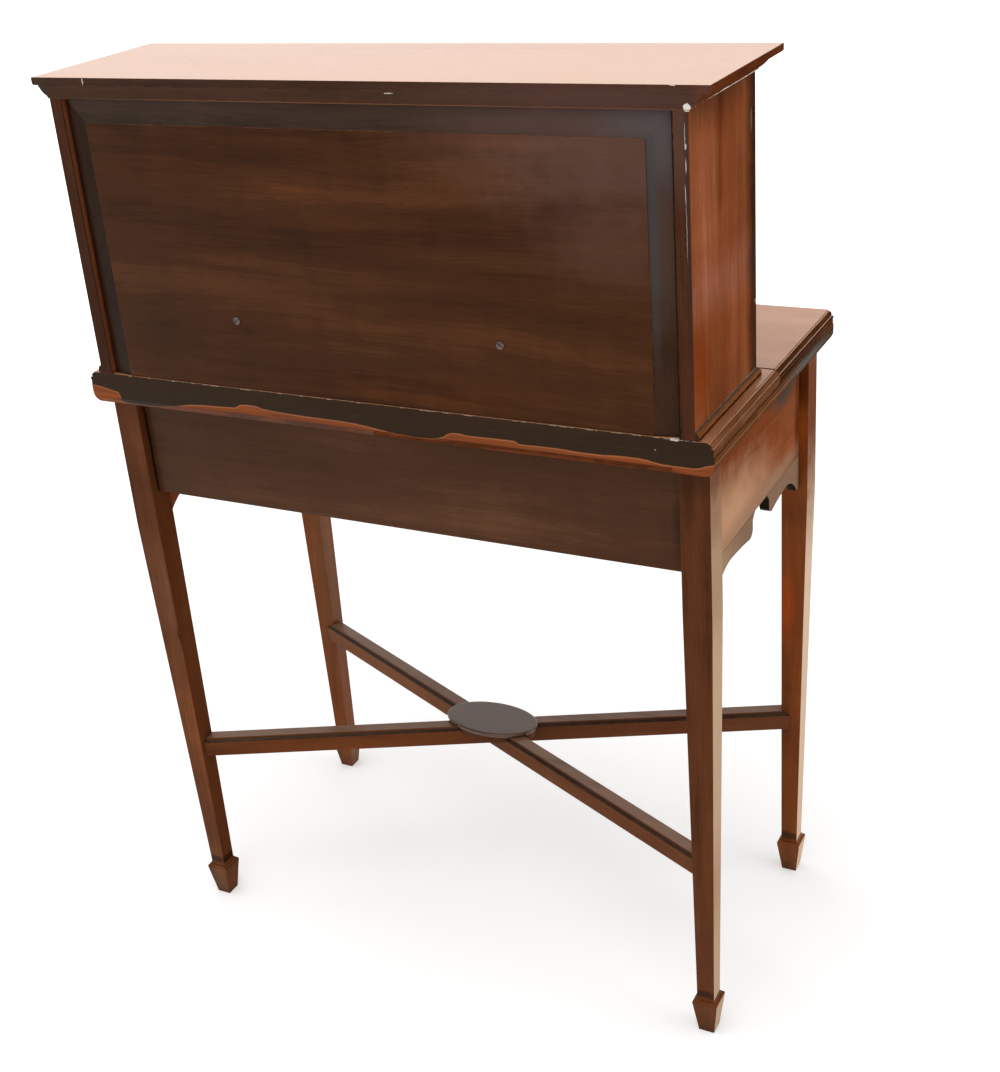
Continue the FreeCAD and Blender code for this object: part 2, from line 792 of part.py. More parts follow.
# ---------------------------------------------------------------- frieze drawer
def make_frieze_drawer():
    parts = {}
    half_front = guide_inner_x - drawer_gap
    front_z = (blade_top + drawer_gap, frame_top - drawer_gap)
    front_back = frieze_front + drawer_front_thick
    front = box((-half_front, half_front), (frieze_front, front_back), front_z)
    bead = box((-half_front, half_front), (frieze_front - cockbead_stand, frieze_front), front_z)
    inner = half_front - cockbead_width
    bead = bead.cut(box((-inner, inner), (frieze_front - cockbead_stand, frieze_front),
                        (front_z[0] + cockbead_width, front_z[1] - cockbead_width)))
    parts["drawer_front"] = front.fuse(bead).removeSplitter()
    outer = half_front
    inside = outer - drawer_side_thick
    floor = blade_top + run_gap
    end = drawer_end
    side_board = box((inside, outer), (front_back, end), (floor, floor + drawer_side_height))
    back = box((-inside, inside), (end - drawer_side_thick, end),
               (floor + drawer_bottom_raise + drawer_bottom_thick,
                floor + drawer_side_height - drawer_back_drop))
    parts["drawer_sides"] = both_sides(side_board)
    parts["drawer_back"] = back
    parts["drawer_bottom"] = box((-inside, inside), (front_back, end),
                                 (floor + drawer_bottom_raise,
                                  floor + drawer_bottom_raise + drawer_bottom_thick))
    knob = turned_knob(drawer_knob_radius, drawer_knob_length, drawer_knob_spacing / 2.0,
                       frieze_front, sum(front_z) / 2.0)
    parts["drawer_knobs"] = both_sides(knob)
    runner = face(on_y, (leg_inner_x - runner_width, rail_bottom), [
        (leg_inner_x, rail_bottom),
        (leg_inner_x, blade_top + runner_guide_height),
        (guide_inner_x, blade_top + runner_guide_height),
        (guide_inner_x, blade_top),
        (leg_inner_x - runner_width, blade_top),
    ])
    runner = run(runner, frieze_front + blade_depth, back_rail_front, Vector(0, 1, 0))
    parts["drawer_runners"] = both_sides(runner)
    return parts


# ---------------------------------------------------------------- case
def raised_panel(half_width, bottom, top, rear, front, margin, sink, quirk, open_bottom):
    """A fielded panel: a flat field with a bevel that falls away to its edges."""
    result = box((-half_width, half_width), (front, rear), (bottom, top))
    field_x = half_width - margin
    field_top = top - margin
    field_low = bottom if open_bottom else bottom + margin
    inner = [(-field_x, field_low), (field_x, field_low), (field_x, field_top), (-field_x, field_top)]
    outer = [(-half_width, bottom), (half_width, bottom), (half_width, top), (-half_width, top)]
    over = 1.0 if rear > front else -1.0
    top_y = rear - over * quirk
    edge_y = rear - over * sink
    for index in range(1 if open_bottom else 0, 4):
        following = (index + 1) % 4
        corners = [inner[index], inner[following], outer[following], outer[index]]
        result = result.cut(bevel_wedge(corners, top_y, edge_y, rear, over))
    return result


def bevel_wedge(corners, top_y, edge_y, face_y, over):
    """What a bevel takes off along one edge of a panel."""
    heights = (top_y, top_y, edge_y, edge_y)
    low = [Vector(x, y, z) for (x, z), y in zip(corners, heights)]
    above = face_y + over
    high = [Vector(x, above, z) for (x, z) in corners]
    faces = [Part.Face(Part.makePolygon(low + [low[0]])), Part.Face(Part.makePolygon(high + [high[0]]))]
    for index in range(4):
        following = (index + 1) % 4
        ring = [low[index], low[following], high[following], high[index], low[index]]
        faces.append(Part.Face(Part.makePolygon(ring)))
    solid = Part.Solid(Part.Shell(faces))
    if solid.Volume < 0:
        solid.reverse()
    return solid


def moulding_ring(section_x, section_y, x_limit, y_front):
    """A board with the same moulding on its two ends and its front, mitred at the corners."""
    right = run(section_x, y_front, rear_y, Vector(0, 1, 0))
    return whole(right).common(run(section_y, -x_limit, x_limit, Vector(1, 0, 0)))


def cornice_bed_steps(edge, inward):
    """The bed moulding from its bottom to its top: bead, cove and fillet."""
    depth = edge_to_case_x()
    bead_top = (depth - bed_bead, case_top_z + bed_bead)
    bead_mid = quarter((depth, bead_top[1]), -bed_bead, -bed_bead, 45.0)
    cove_low = (bead_top[0] - bed_bead_step, bead_top[1])
    cove_top = (bed_fillet_step, slab_bottom - bed_fillet)
    return placed([
        (depth, case_top_z),
        (bead_mid, bead_top),
        cove_low,
        (bowed(cove_low, cove_top, bed_cove_sag), cove_top),
        (0.0, cove_top[1]),
        (0.0, slab_bottom),
    ], edge, inward)


def edge_to_case_x():
    """How far the bed moulding reaches past the case's side."""
    return half_cornice - bed_moulding_in - half_case


def make_cornice():
    parts = {}
    bed_x = half_cornice - bed_moulding_in
    steps_x = cornice_bed_steps(bed_x, -1.0)
    across = face(on_y, (0.0, case_top_z), steps_x + [(0.0, slab_bottom)])
    bed_front_y = case_front - edge_to_case_x()
    steps_y = cornice_bed_steps(bed_front_y, 1.0)
    along = face(on_x, (rear_y, case_top_z), steps_y + [(rear_y, slab_bottom)])
    parts["cornice_bed_board"] = moulding_ring(across, along, bed_x, bed_front_y)
    low = slab_bottom
    high = total_height
    side = half_cornice - slab_round
    side_mid = quarter((side, low + slab_round), slab_round, slab_round, -45.0)
    across = face(on_y, (0.0, low), [
        (side, low), (side_mid, (half_cornice, low + slab_round)), (half_cornice, high), (0.0, high)])
    front = cornice_front + slab_round
    front_mid = quarter((front, low + slab_round), -slab_round, slab_round, -45.0)
    along = face(on_x, (rear_y, low), [
        (front, low), (front_mid, (cornice_front, low + slab_round)), (cornice_front, high),
        (rear_y, high)])
    parts["cornice_slab"] = moulding_ring(across, along, half_cornice, cornice_front)
    return parts


def make_foot_moulding():
    """Three mitred lengths round the foot of the case, square at the back."""
    low = case_bottom_z
    high = low + foot_moulding_height
    cove_low = (foot_moulding_stand, low + foot_moulding_fillet)
    cove_top = (foot_moulding_edge, high - foot_moulding_top)
    profile = [
        (foot_moulding_stand, low),
        cove_low,
        (bowed(cove_low, cove_top, -foot_moulding_rise), cove_top),
        (0.0, high),
    ]
    right_section = face(on_y, (half_case, low), placed(profile, half_case, 1.0))
    front_section = face(on_x, (case_front, low), placed(profile, case_front, -1.0))
    reach = foot_moulding_stand
    right = run(right_section, case_front - reach, rear_y, Vector(0, 1, 0))
    front = run(front_section, -half_case - reach, half_case + reach, Vector(1, 0, 0))
    corner = Vector(half_case, case_front, low)
    mitre = Part.Face(Part.makePolygon([
        corner, corner + Vector(2 * reach, -2 * reach, 0), corner + Vector(-2 * reach, -2 * reach, 0),
        corner]))
    wedge = mitre.extrude(Vector(0, 0, foot_moulding_height))
    front = front.common(box((-half_case, half_case), (case_front - reach, case_front), (low, high))
                         .fuse([wedge, mirrored(wedge)]))
    right = right.cut(wedge)
    return {"foot_moulding": Part.makeCompound([right, mirrored(right), front.Solids[0]])}


def make_case():
    parts = {}
    inner = case_inner_x
    for side, sign in SIDES:
        board = box((inner, half_case), (case_front, rear_y), (case_bottom_z, case_top_z))
        parts["case_side_" + side] = on_side(board, sign)
        partition = box((partition_inner_x, partition_outer_x), (case_front, back_panel_front),
                        (case_floor, case_ceiling))
        parts["partition_" + side] = on_side(partition, sign)
    depth = (case_front, back_panel_front)
    parts["case_bottom"] = box((-inner, inner), depth, (case_bottom_z, case_floor))
    parts["case_top"] = box((-inner, inner), depth, (case_ceiling, case_top_z))
    panel = raised_panel(inner, case_bottom_z, case_top_z, back_panel_rear, back_panel_front,
                         back_bevel_width, back_bevel_sink, back_bevel_quirk, True)
    screw = back_screw()
    parts["back_panel"] = panel.cut(both_sides(screw))
    parts["back_screws"] = both_sides(screw.cut(back_screw_slot_tool()))
    shelf_y = (case_front + shelf_set_back, back_panel_front)
    half_shelf = shelf_thick / 2.0
    low_shelf = box((-partition_inner_x, partition_inner_x), shelf_y,
                    (low_shelf_mid - half_shelf, low_shelf_mid + half_shelf))
    high_shelf = box((-partition_inner_x, partition_inner_x), shelf_y,
                     (high_shelf_mid - half_shelf, high_shelf_mid + half_shelf))
    cupboard_shelf = box((partition_outer_x, inner),
                         (case_front + cupboard_shelf_set_back, back_panel_front),
                         (cupboard_shelf_mid - half_shelf, cupboard_shelf_mid + half_shelf))
    parts["case_shelves"] = Part.makeCompound([low_shelf, high_shelf, cupboard_shelf,
                                               mirrored(cupboard_shelf)])
    divider_x = partition_inner_x / 3.0
    half_divider = pigeonhole_divider_thick / 2.0
    divider = box((divider_x - half_divider, divider_x + half_divider), shelf_y,
                  (low_shelf_mid + half_shelf, high_shelf_mid - half_shelf))
    parts["pigeonhole_dividers"] = both_sides(divider)
    return parts


def back_screw():
    """A screw that holds the back panel to the right partition: head and shank."""
    x = partition_spacing / 2.0
    start = back_panel_rear - back_screw_depth
    return Part.makeCylinder(back_screw_radius, back_screw_depth + back_screw_stand,
                             Vector(x, start, low_shelf_mid), Vector(0, 1, 0))


def back_screw_slot_tool():
    """The slot in the right screw's head."""
    x = partition_spacing / 2.0
    head = back_panel_rear + back_screw_stand
    half = back_screw_slot / 2.0
    tool = box((x - back_screw_radius, x + back_screw_radius), (head - back_screw_slot_depth, head),
               (low_shelf_mid - half, low_shelf_mid + half))
    tool.rotate(Vector(x, head, low_shelf_mid), Vector(0, 1, 0), back_screw_slot_turn)
    return tool


# ---------------------------------------------------------------- cupboard doors
def make_doors(parts):
    """The doors and their hinges. Their sinkings are cut in the case sides too."""
    low = case_floor + door_gap
    high = case_ceiling - door_gap
    outer = case_inner_x - door_gap
    inner = partition_outer_x + door_gap
    rear = case_front + door_thick
    frame = box((inner, outer), (case_front, rear), (low, high))
    hole_x = (inner + door_stile, outer - door_stile)
    hole_z = (low + door_rail, high - door_rail)
    frame = frame.cut(box(hole_x, (case_front, rear), hole_z))
    mid_x = (hole_x[0] + hole_x[1]) / 2.0
    half = (hole_x[1] - hole_x[0]) / 2.0
    face_y = case_front + door_panel_set_back
    panel = raised_panel(half, hole_z[0], hole_z[1], face_y, face_y + door_panel_thick,
                         door_panel_field_in, door_panel_bevel_sink, back_bevel_quirk, False)
    panel.translate(Vector(mid_x, 0, 0))
    knob = turned_knob(small_knob_radius, small_knob_length, inner + door_stile / 2.0, case_front,
                       writing_height + door_knob_rise)
    fixed = []
    moving = []
    case_side = parts["case_side_right"]
    for height in door_hinge_heights():
        fixed.append(upright(hinge_half(door_hinge_length, door_hinge_plate, True), height))
        moving.append(upright(hinge_half(door_hinge_length, door_hinge_plate, False), height))
        room = upright(hinge_room(door_hinge_length), height)
        case_side = case_side.cut(room).cut(fixed[-1])
        frame = frame.cut(room).cut(moving[-1])
    for side, sign in SIDES:
        parts["case_side_" + side] = on_side(case_side, sign)
        parts["door_frame_" + side] = on_side(frame, sign)
        parts["door_panel_" + side] = on_side(panel, sign)
        pieces = [on_side(piece, sign) for piece in moving + [knob]]
        parts["door_fittings_" + side] = Part.makeCompound(pieces)
    every_fixed = parts["fixed_hinge_plates"].Solids + fixed + [mirrored(piece) for piece in fixed]
    parts["fixed_hinge_plates"] = Part.makeCompound(every_fixed)
    return parts


# ---------------------------------------------------------------- centre drawer of the case
def make_case_drawer():
    parts = {}
    half = partition_inner_x - case_drawer_gap
    ceiling = low_shelf_mid - shelf_thick / 2.0
    front_z = (case_floor + case_drawer_gap, ceiling - case_drawer_gap)
    front_y = case_front + shelf_set_back
    front_back = front_y + case_drawer_front_thick
    end = front_y + case_drawer_length
    parts["case_drawer_front"] = box((-half, half), (front_y, front_back), front_z)
    wall = case_drawer_wall
    floor = case_floor + run_gap
    side_z = (floor, front_z[1] - case_drawer_side_drop)
    side_board = box((half - wall, half), (front_back, end), side_z)
    back = box((-half + wall, half - wall), (end - wall, end), side_z)
    bottom = box((-half + wall, half - wall), (front_back, end - wall),
                 (floor, floor + case_drawer_bottom_thick))
    parts["case_drawer_box"] = Part.makeCompound([side_board, mirrored(side_board), back, bottom])
    knob = turned_knob(small_knob_radius, small_knob_length, case_drawer_knob_spacing / 2.0, front_y,
                       sum(front_z) / 2.0)
    parts["case_drawer_knobs"] = both_sides(knob)
    return parts


# ---------------------------------------------------------------- build and export
def build():
    parts = make_legs()
    parts.update(make_rails())
    parts.update(make_stretcher(parts))
    parts.update(make_desk_top())
    parts.update(make_lopers())
    parts.update(make_frieze_drawer())
    parts.update(make_case())
    parts.update(make_foot_moulding())
    parts.update(make_cornice())
    parts.update(make_case_drawer())
    return make_doors(parts)


os.makedirs("parts", exist_ok=True)
for name, shape in sorted(build().items()):
    shape.exportStep("parts/%s.step" % name)
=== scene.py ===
"""Looks of a bonheur du jour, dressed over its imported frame.

Metres throughout, in the frame's own axes: the sitter's side faces -Y, +X is to the
sitter's right and +Z is up. Left and right are always the sitter's.
"""
import json
import logging
import math
from dataclasses import dataclass, field
from enum import Enum
from typing import Callable, Iterable, Optional, Sequence

import bmesh
import bpy
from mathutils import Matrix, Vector


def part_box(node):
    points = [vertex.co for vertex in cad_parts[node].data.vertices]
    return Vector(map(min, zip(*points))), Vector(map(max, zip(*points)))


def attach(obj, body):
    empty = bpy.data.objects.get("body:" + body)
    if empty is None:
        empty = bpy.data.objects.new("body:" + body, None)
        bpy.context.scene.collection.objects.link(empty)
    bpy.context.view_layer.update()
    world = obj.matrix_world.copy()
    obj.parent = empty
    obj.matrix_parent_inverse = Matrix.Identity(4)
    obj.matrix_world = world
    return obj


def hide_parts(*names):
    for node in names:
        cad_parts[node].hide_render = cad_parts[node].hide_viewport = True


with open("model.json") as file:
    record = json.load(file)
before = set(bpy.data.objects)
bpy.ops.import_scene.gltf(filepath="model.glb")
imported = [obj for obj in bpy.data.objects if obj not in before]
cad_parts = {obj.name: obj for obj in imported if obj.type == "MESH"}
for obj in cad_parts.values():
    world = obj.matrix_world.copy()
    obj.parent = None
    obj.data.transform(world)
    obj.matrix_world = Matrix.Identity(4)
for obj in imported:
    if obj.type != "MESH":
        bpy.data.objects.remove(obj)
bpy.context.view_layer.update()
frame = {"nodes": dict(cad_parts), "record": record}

log = logging.getLogger("bonheur_du_jour")

Point = tuple[float, float]
Place = tuple[float, float, float]
Colour = tuple[float, float, float]

BODY_OF = {node: body for body, nodes in frame["record"]["behaviour"]["bodies"].items() for node in nodes}
SLOT_OF = {entry["node"]: entry["material_slot"] for entry in frame["record"]["subparts"]}
SIDES = (("left", -1.0), ("right", 1.0))
WHITE: Colour = (1.0, 1.0, 1.0)


# ------------------------------------------------------------------ node graphs
class Value:
    """What a node puts out. Numbers can be summed as plain ones are."""

    def __init__(self, graph: "Graph", socket: bpy.types.NodeSocket) -> None:
        """Hold an output socket of a graph."""
        self.graph, self.socket = graph, socket

    def __add__(self, other: object) -> "Value":
        """This and another number."""
        return self.graph.sum("ADD", self, other)

    def __radd__(self, other: object) -> "Value":
        """A plain number and this one."""
        return self.graph.sum("ADD", other, self)

    def __sub__(self, other: object) -> "Value":
        """This less another number."""
        return self.graph.sum("SUBTRACT", self, other)

    def __rsub__(self, other: object) -> "Value":
        """A plain number less this one."""
        return self.graph.sum("SUBTRACT", other, self)

    def __mul__(self, other: object) -> "Value":
        """This times another number."""
        return self.graph.sum("MULTIPLY", self, other)

    def __truediv__(self, other: object) -> "Value":
        """This divided by another number."""
        return self.graph.sum("DIVIDE", self, other)

    def clamped(self) -> "Value":
        """This sum, kept between 0 and 1."""
        self.socket.node.use_clamp = True
        return self


class Graph:
    """A node tree in the making, with short calls for the nodes that recur."""

    def __init__(self, tree: bpy.types.NodeTree) -> None:
        """Take over a node tree."""
        self.tree = tree

    def add(self, kind: str, inputs: Optional[dict] = None, **settings: object) -> bpy.types.Node:
        """Add a node, set it and wire it.

        Args:
            kind: the node's type name.
            inputs: socket name or number to a value, or to the output that feeds it.
            **settings: the node's own properties.

        Returns:
            The new node.
        """
        node = self.tree.nodes.new(kind)
        for name, value in settings.items():
            setattr(node, name, value)
        self.wire(node, inputs or {})
        return node

    def wire(self, node: bpy.types.Node, inputs: dict) -> None:
        """Wire a node's sockets to their sources, or give them plain values.

        Args:
            node: the node.
            inputs: socket name or number to an output, a number, a vector, a colour or a data block.
        """
        for name, value in inputs.items():
            socket = node.inputs[name]
            if isinstance(value, Value):
                self.tree.links.new(value.socket, socket)
            elif socket.type == "RGBA":
                socket.default_value = (*value, 1.0)
            else:
                socket.default_value = value

    def out(self, kind: str, inputs: Optional[dict] = None, pick: object = 0, **settings: object) -> Value:
        """Add a node and hold one of its outputs.

        Args:
            kind: the node's type name.
            inputs: its inputs, as add takes them.
            pick: the name or number of the output.
            **settings: the node's own properties.

        Returns:
            The output.
        """
        return Value(self, self.add(kind, inputs, **settings).outputs[pick])

    def outs(self, node: bpy.types.Node) -> dict[str, Value]:
        """A node's outputs by name."""
        return {socket.name: Value(self, socket) for socket in node.outputs}

    def sum(self, operation: str, first: object, second: object) -> Value:
        """One step of arithmetic on numbers, by the Math node's name for it."""
        return self.out("ShaderNodeMath", {0: first, 1: second}, operation=operation)

    def vector(self, operation: str, first: object, second: object = (0.0, 0.0, 0.0),
               pick: str = "Vector") -> Value:
        """One step of arithmetic on vectors, by the Vector Math node's name for it."""
        return self.out("ShaderNodeVectorMath", {0: first, 1: second}, pick, operation=operation)

    def place(self) -> Value:
        """Where the surface is, in the object's own coordinates."""
        return self.out("ShaderNodeTexCoord", pick="Object")

    def grain(self, spot: Value, scale: Place, detail: float = 2.0, rough: float = 0.5, bend: float = 0.0,
              pick: str = "Fac") -> Value:
        """Noise drawn out along one axis.

        Args:
            spot: where the noise is read.
            scale: how many features there are to a metre along each axis.
            detail: how many finer layers are laid over it.
            rough: how strong the finer layers are.
            bend: how far the noise bends itself.
            pick: the number from 0 to 1, or the three in its colour.

        Returns:
            The noise.
        """
        return self.out("ShaderNodeTexNoise",
                        {"Vector": self.vector("MULTIPLY", spot, scale), "Scale": 1.0, "Detail": detail,
                         "Roughness": rough, "Distortion": bend}, pick)

    def cloud(self, spot: Value, scale: float, detail: float = 2.0, rough: float = 0.5) -> Value:
        """Noise that is alike along all three axes."""
        return self.grain(spot, (scale, scale, scale), detail, rough)

    def shaken(self, spot: Value, noise: Value, reach: Place) -> Value:
        """A place moved to and fro by a noise's colour, as far as reach says along each axis."""
        off = self.vector("SUBTRACT", noise, (0.5, 0.5, 0.5))
        return self.vector("ADD", spot, self.vector("MULTIPLY", off, reach))

    def rise(self, value: Value, low: object, high: object) -> Value:
        """A smooth step from 0 at one value to 1 at another."""
        return self.out("ShaderNodeMapRange", {"Value": value, "From Min": low, "From Max": high},
                        interpolation_type="SMOOTHSTEP")

    def mix(self, share: object, first: object, second: object, blend: str = "MIX") -> Value:
        """Mix two colours: so much of the second over the first, in the Mix node's named way."""
        return self.out("ShaderNodeMix", {0: share, 6: first, 7: second}, 2, data_type="RGBA",
                        blend_type=blend)

    def group(self, tree: bpy.types.NodeTree, inputs: dict) -> dict[str, Value]:
        """Place a shared group, wire it and return its outputs by name."""
        return self.outs(self.add("ShaderNodeGroup", inputs, node_tree=tree))

    def bump(self, height: Value, strength: float, distance: float, normal: Value) -> Value:
        """A normal pushed about by a height.

        Args:
            height: the height.
            strength: how much of it shows.
            distance: its full height in metres.
            normal: the normal it is laid over.

        Returns:
            The new normal.
        """
        return self.out("ShaderNodeBump", {"Strength": strength, "Distance": distance, "Height": height,
                                           "Normal": normal})

    def seen_directly(self) -> Value:
        """Tell what sees the surface from what it only lights.

        Returns:
            1 where the eye, a reflection or a clear body sees the surface, and 0 elsewhere.
        """
        rays = self.outs(self.add("ShaderNodeLightPath"))
        return self.sum("MAXIMUM", rays["Is Camera Ray"],
                        self.sum("MAXIMUM", rays["Is Glossy Ray"], rays["Is Transmission Ray"]))


class SharedGroup(Graph):
    """A shader group with named sockets, built once and placed in many materials."""

    KINDS = {"Color": "NodeSocketColor", "Normal": "NodeSocketVector"}

    def __init__(self, name: str, **inputs: object) -> None:
        """Open the group.

        Args:
            name: the group's name.
            **inputs: each input's plain value, with a line for each space in its name: a number,
                a colour, or None for a vector.
        """
        super().__init__(bpy.data.node_groups.new(name, "ShaderNodeTree"))
        for label, value in inputs.items():
            kind = "Vector" if value is None else "Color" if isinstance(value, tuple) else "Float"
            socket = self.tree.interface.new_socket(name=label.replace("_", " "), in_out="INPUT",
                                                    socket_type="NodeSocket" + kind)
            if value is not None:
                socket.default_value = (*value, 1.0) if kind == "Color" else value
        self.given = self.outs(self.add("NodeGroupInput"))

    def close(self, **outputs: Value) -> bpy.types.NodeTree:
        """Wire the group's outputs, which are colours, normals and plain numbers by their names.

        Args:
            **outputs: each output by its name.

        Returns:
            The group's tree.
        """
        for label in outputs:
            self.tree.interface.new_socket(name=label, in_out="OUTPUT",
                                           socket_type=self.KINDS.get(label, "NodeSocketFloat"))
        self.add("NodeGroupOutput", outputs)
        return self.tree


def wood_figure() -> bpy.types.NodeTree:
    """Timber whose fibres run along X: broad figure, growth bands, fibres and pores.

    Returns:
        The group's tree.
    """
    graph = SharedGroup("wood figure", Vector=None, Dark=(0.03, 0.01, 0.005), Body=(0.1, 0.04, 0.02),
                        Light=(0.2, 0.08, 0.04), Contrast=1.0, Pore_Depth=0.4)
    given = graph.given
    drift = graph.grain(given["Vector"], (1.4, 5.0, 5.0), pick="Color")
    spot = graph.shaken(given["Vector"], drift, (0.0, 0.05, 0.05))
    broad = graph.grain(spot, (1.9, 13.0, 13.0), 3.0, 0.55, 0.3)
    bands = graph.grain(spot, (3.2, 62.0, 62.0), 3.0, 0.6)
    fibres = graph.grain(spot, (16.0, 520.0, 520.0), 2.0, 0.6)
    ripple = graph.grain(spot, (34.0, 7.0, 7.0), 1.0, 0.5, 0.4)
    total = broad * 0.50 + bands * 0.26 + fibres * 0.16 + ripple * 0.08
    total = (total - 0.5) * given["Contrast"] + 0.5
    colour = graph.mix(graph.rise(total, 0.34, 0.50), given["Dark"], given["Body"])
    colour = graph.mix(graph.rise(total, 0.50, 0.68), colour, given["Light"])
    pores = graph.rise(graph.grain(spot, (75.0, 1500.0, 1500.0), 1.0), 0.60, 0.72)
    colour = graph.mix(pores * given["Pore Depth"], colour, given["Dark"])
    return graph.close(Color=colour, Figure=total, Pores=pores)


def edge_wear() -> bpy.types.NodeTree:
    """Where hands and dusters have rubbed the arrises, and the softened normal there.

    Returns:
        The group's tree.
    """
    graph = SharedGroup("edge wear", Radius=0.0014, Break_Up=70.0, Amount=0.7)
    given = graph.given
    soft = graph.out("ShaderNodeBevel", {"Radius": given["Radius"]}, samples=4)
    flat = graph.out("ShaderNodeNewGeometry", pick="Normal")
    bare = graph.rise(1.0 - graph.vector("DOT_PRODUCT", soft, flat, "Value"), 0.02, 0.22)
    breaks = graph.out("ShaderNodeTexNoise", {"Vector": graph.place(), "Scale": given["Break Up"],
                                              "Detail": 4.0, "Roughness": 0.7}, "Fac")
    mask = bare * graph.rise(breaks, 0.42, 0.66) * given["Amount"]
    return graph.close(Mask=mask.clamped(), Normal=soft)


def grimy_corner_shade() -> bpy.types.NodeTree:
    """Old wax and soiling that settle in corners, with painted shade: the corners are darkened where ambient
    occlusion finds them shut in.

    Returns:
        The group's tree.
    """
    graph = SharedGroup("settled grime", Reach=0.012, Amount=0.6)
    near = graph.out("ShaderNodeAmbientOcclusion", {"Distance": graph.given["Reach"]}, "AO", samples=4)
    shut = graph.rise(1.0 - near, 0.15, 0.75)
    cloud = graph.rise(graph.cloud(graph.place(), 38.0, 3.0, 0.6), 0.25, 0.6)
    return graph.close(Mask=(shut * cloud * graph.given["Amount"]).clamped())


def soft_patch() -> bpy.types.NodeTree:
    """An oval patch with a clouded edge, or with a torn one where the softness is small.

    Returns:
        The group's tree.
    """
    graph = SharedGroup("soft patch", Middle=None, Spread=None, Amount=0.6, Softness=1.0)
    given = graph.given
    place = graph.place()
    wander = graph.out("ShaderNodeTexNoise", {"Vector": place, "Scale": 130.0, "Detail": 2.0}, "Color")
    apart = graph.vector("SUBTRACT", graph.shaken(place, wander, (0.0018,) * 3), given["Middle"])
    far = graph.vector("LENGTH", graph.vector("DIVIDE", apart, given["Spread"]), pick="Value")
    far = far + graph.cloud(place, 34.0, 3.0, 0.6) * 0.5 - 0.25
    far = far + (graph.cloud(place, 420.0, 2.0, 0.6) - 0.5) * (1.0 - given["Softness"])
    half = given["Softness"] * 0.5
    mask = (1.0 - graph.rise(far, 0.6 - half, 0.6 + half)) * given["Amount"]
    return graph.close(Mask=mask.clamped())


def hand_polish() -> bpy.types.NodeTree:
    """Roughness of a hand-rubbed polish: dull clouds, rubbing marks and fine scratches.

    Returns:
        The group's tree.
    """
    graph = SharedGroup("hand polish", Vector=None, Gloss=0.25, Spread=0.14)
    given = graph.given
    spot = given["Vector"]
    clouds = graph.grain(spot, (5.0, 9.0, 9.0), 3.0, 0.6, 0.6)
    rubbing = graph.grain(spot, (9.0, 170.0, 170.0), 2.0, 0.6)
    scuffs = graph.rise(graph.grain(spot, (240.0, 19.0, 19.0), 2.0, 0.7, 0.8), 0.66, 0.78)
    swing = (clouds * 0.7 + rubbing * 0.3 - 0.5) * given["Spread"]
    rough = given["Gloss"] + swing * 2.0 + scuffs * 0.08
    return graph.close(Roughness=rough.clamped(), Height=rubbing * 0.6 + clouds * 0.9)


FIGURE, WEAR, GRIME_AND_SHADE, POLISH, PATCH = (make() for make in (wood_figure, edge_wear, grimy_corner_shade,
                                                          hand_polish, soft_patch))


# ------------------------------------------------------------------ finishes
class Grain(Enum):
    """The turn, in degrees about X, Y and Z, that lays the X axis along a board's fibres."""

    ACROSS = (0.0, 0.0, 0.0)
    DEEP = (0.0, 0.0, -90.0)
    UPRIGHT = (0.0, 90.0, 0.0)
    FALLING = (0.0, 0.0, 25.05)
    RISING = (0.0, 0.0, -25.05)


@dataclass(frozen=True)
class Finish:
    """A finish that makes its material once and then hands out the same one."""

    name: str

    def material(self) -> bpy.types.Material:
        """The finish's material, built on the first call.

        Returns:
            The material.
        """
        found = bpy.data.materials.get(self.name)
        if found:
            return found
        made = bpy.data.materials.new(self.name)
        made.use_nodes = True
        made.node_tree.nodes.clear()
        graph = Graph(made.node_tree)
        shader = graph.add("ShaderNodeBsdfPrincipled")
        surface = self.dress(graph, shader) or Value(graph, shader.outputs[0])
        graph.add("ShaderNodeOutputMaterial", {"Surface": surface})
        return made

    def dress(self, graph: Graph, shader: bpy.types.Node) -> Optional[Value]:
        """Wire the material's shader, and return what shows in its place if that isn't the shader."""
        raise NotImplementedError


class Blend(Enum):
    """How a patch changes the wood under it."""

    STAIN = "MULTIPLY"
    FILM = "MIX"


@dataclass(frozen=True)
class Patch:
    """A patch of another tone: a scorch, a faded spot, a smear of old stain or wax, or painted light and
    shade.
    """

    middle: Place
    spread: Place
    tone: Colour
    amount: float = 0.8
    blend: Blend = Blend.STAIN
    softness: float = 1.0


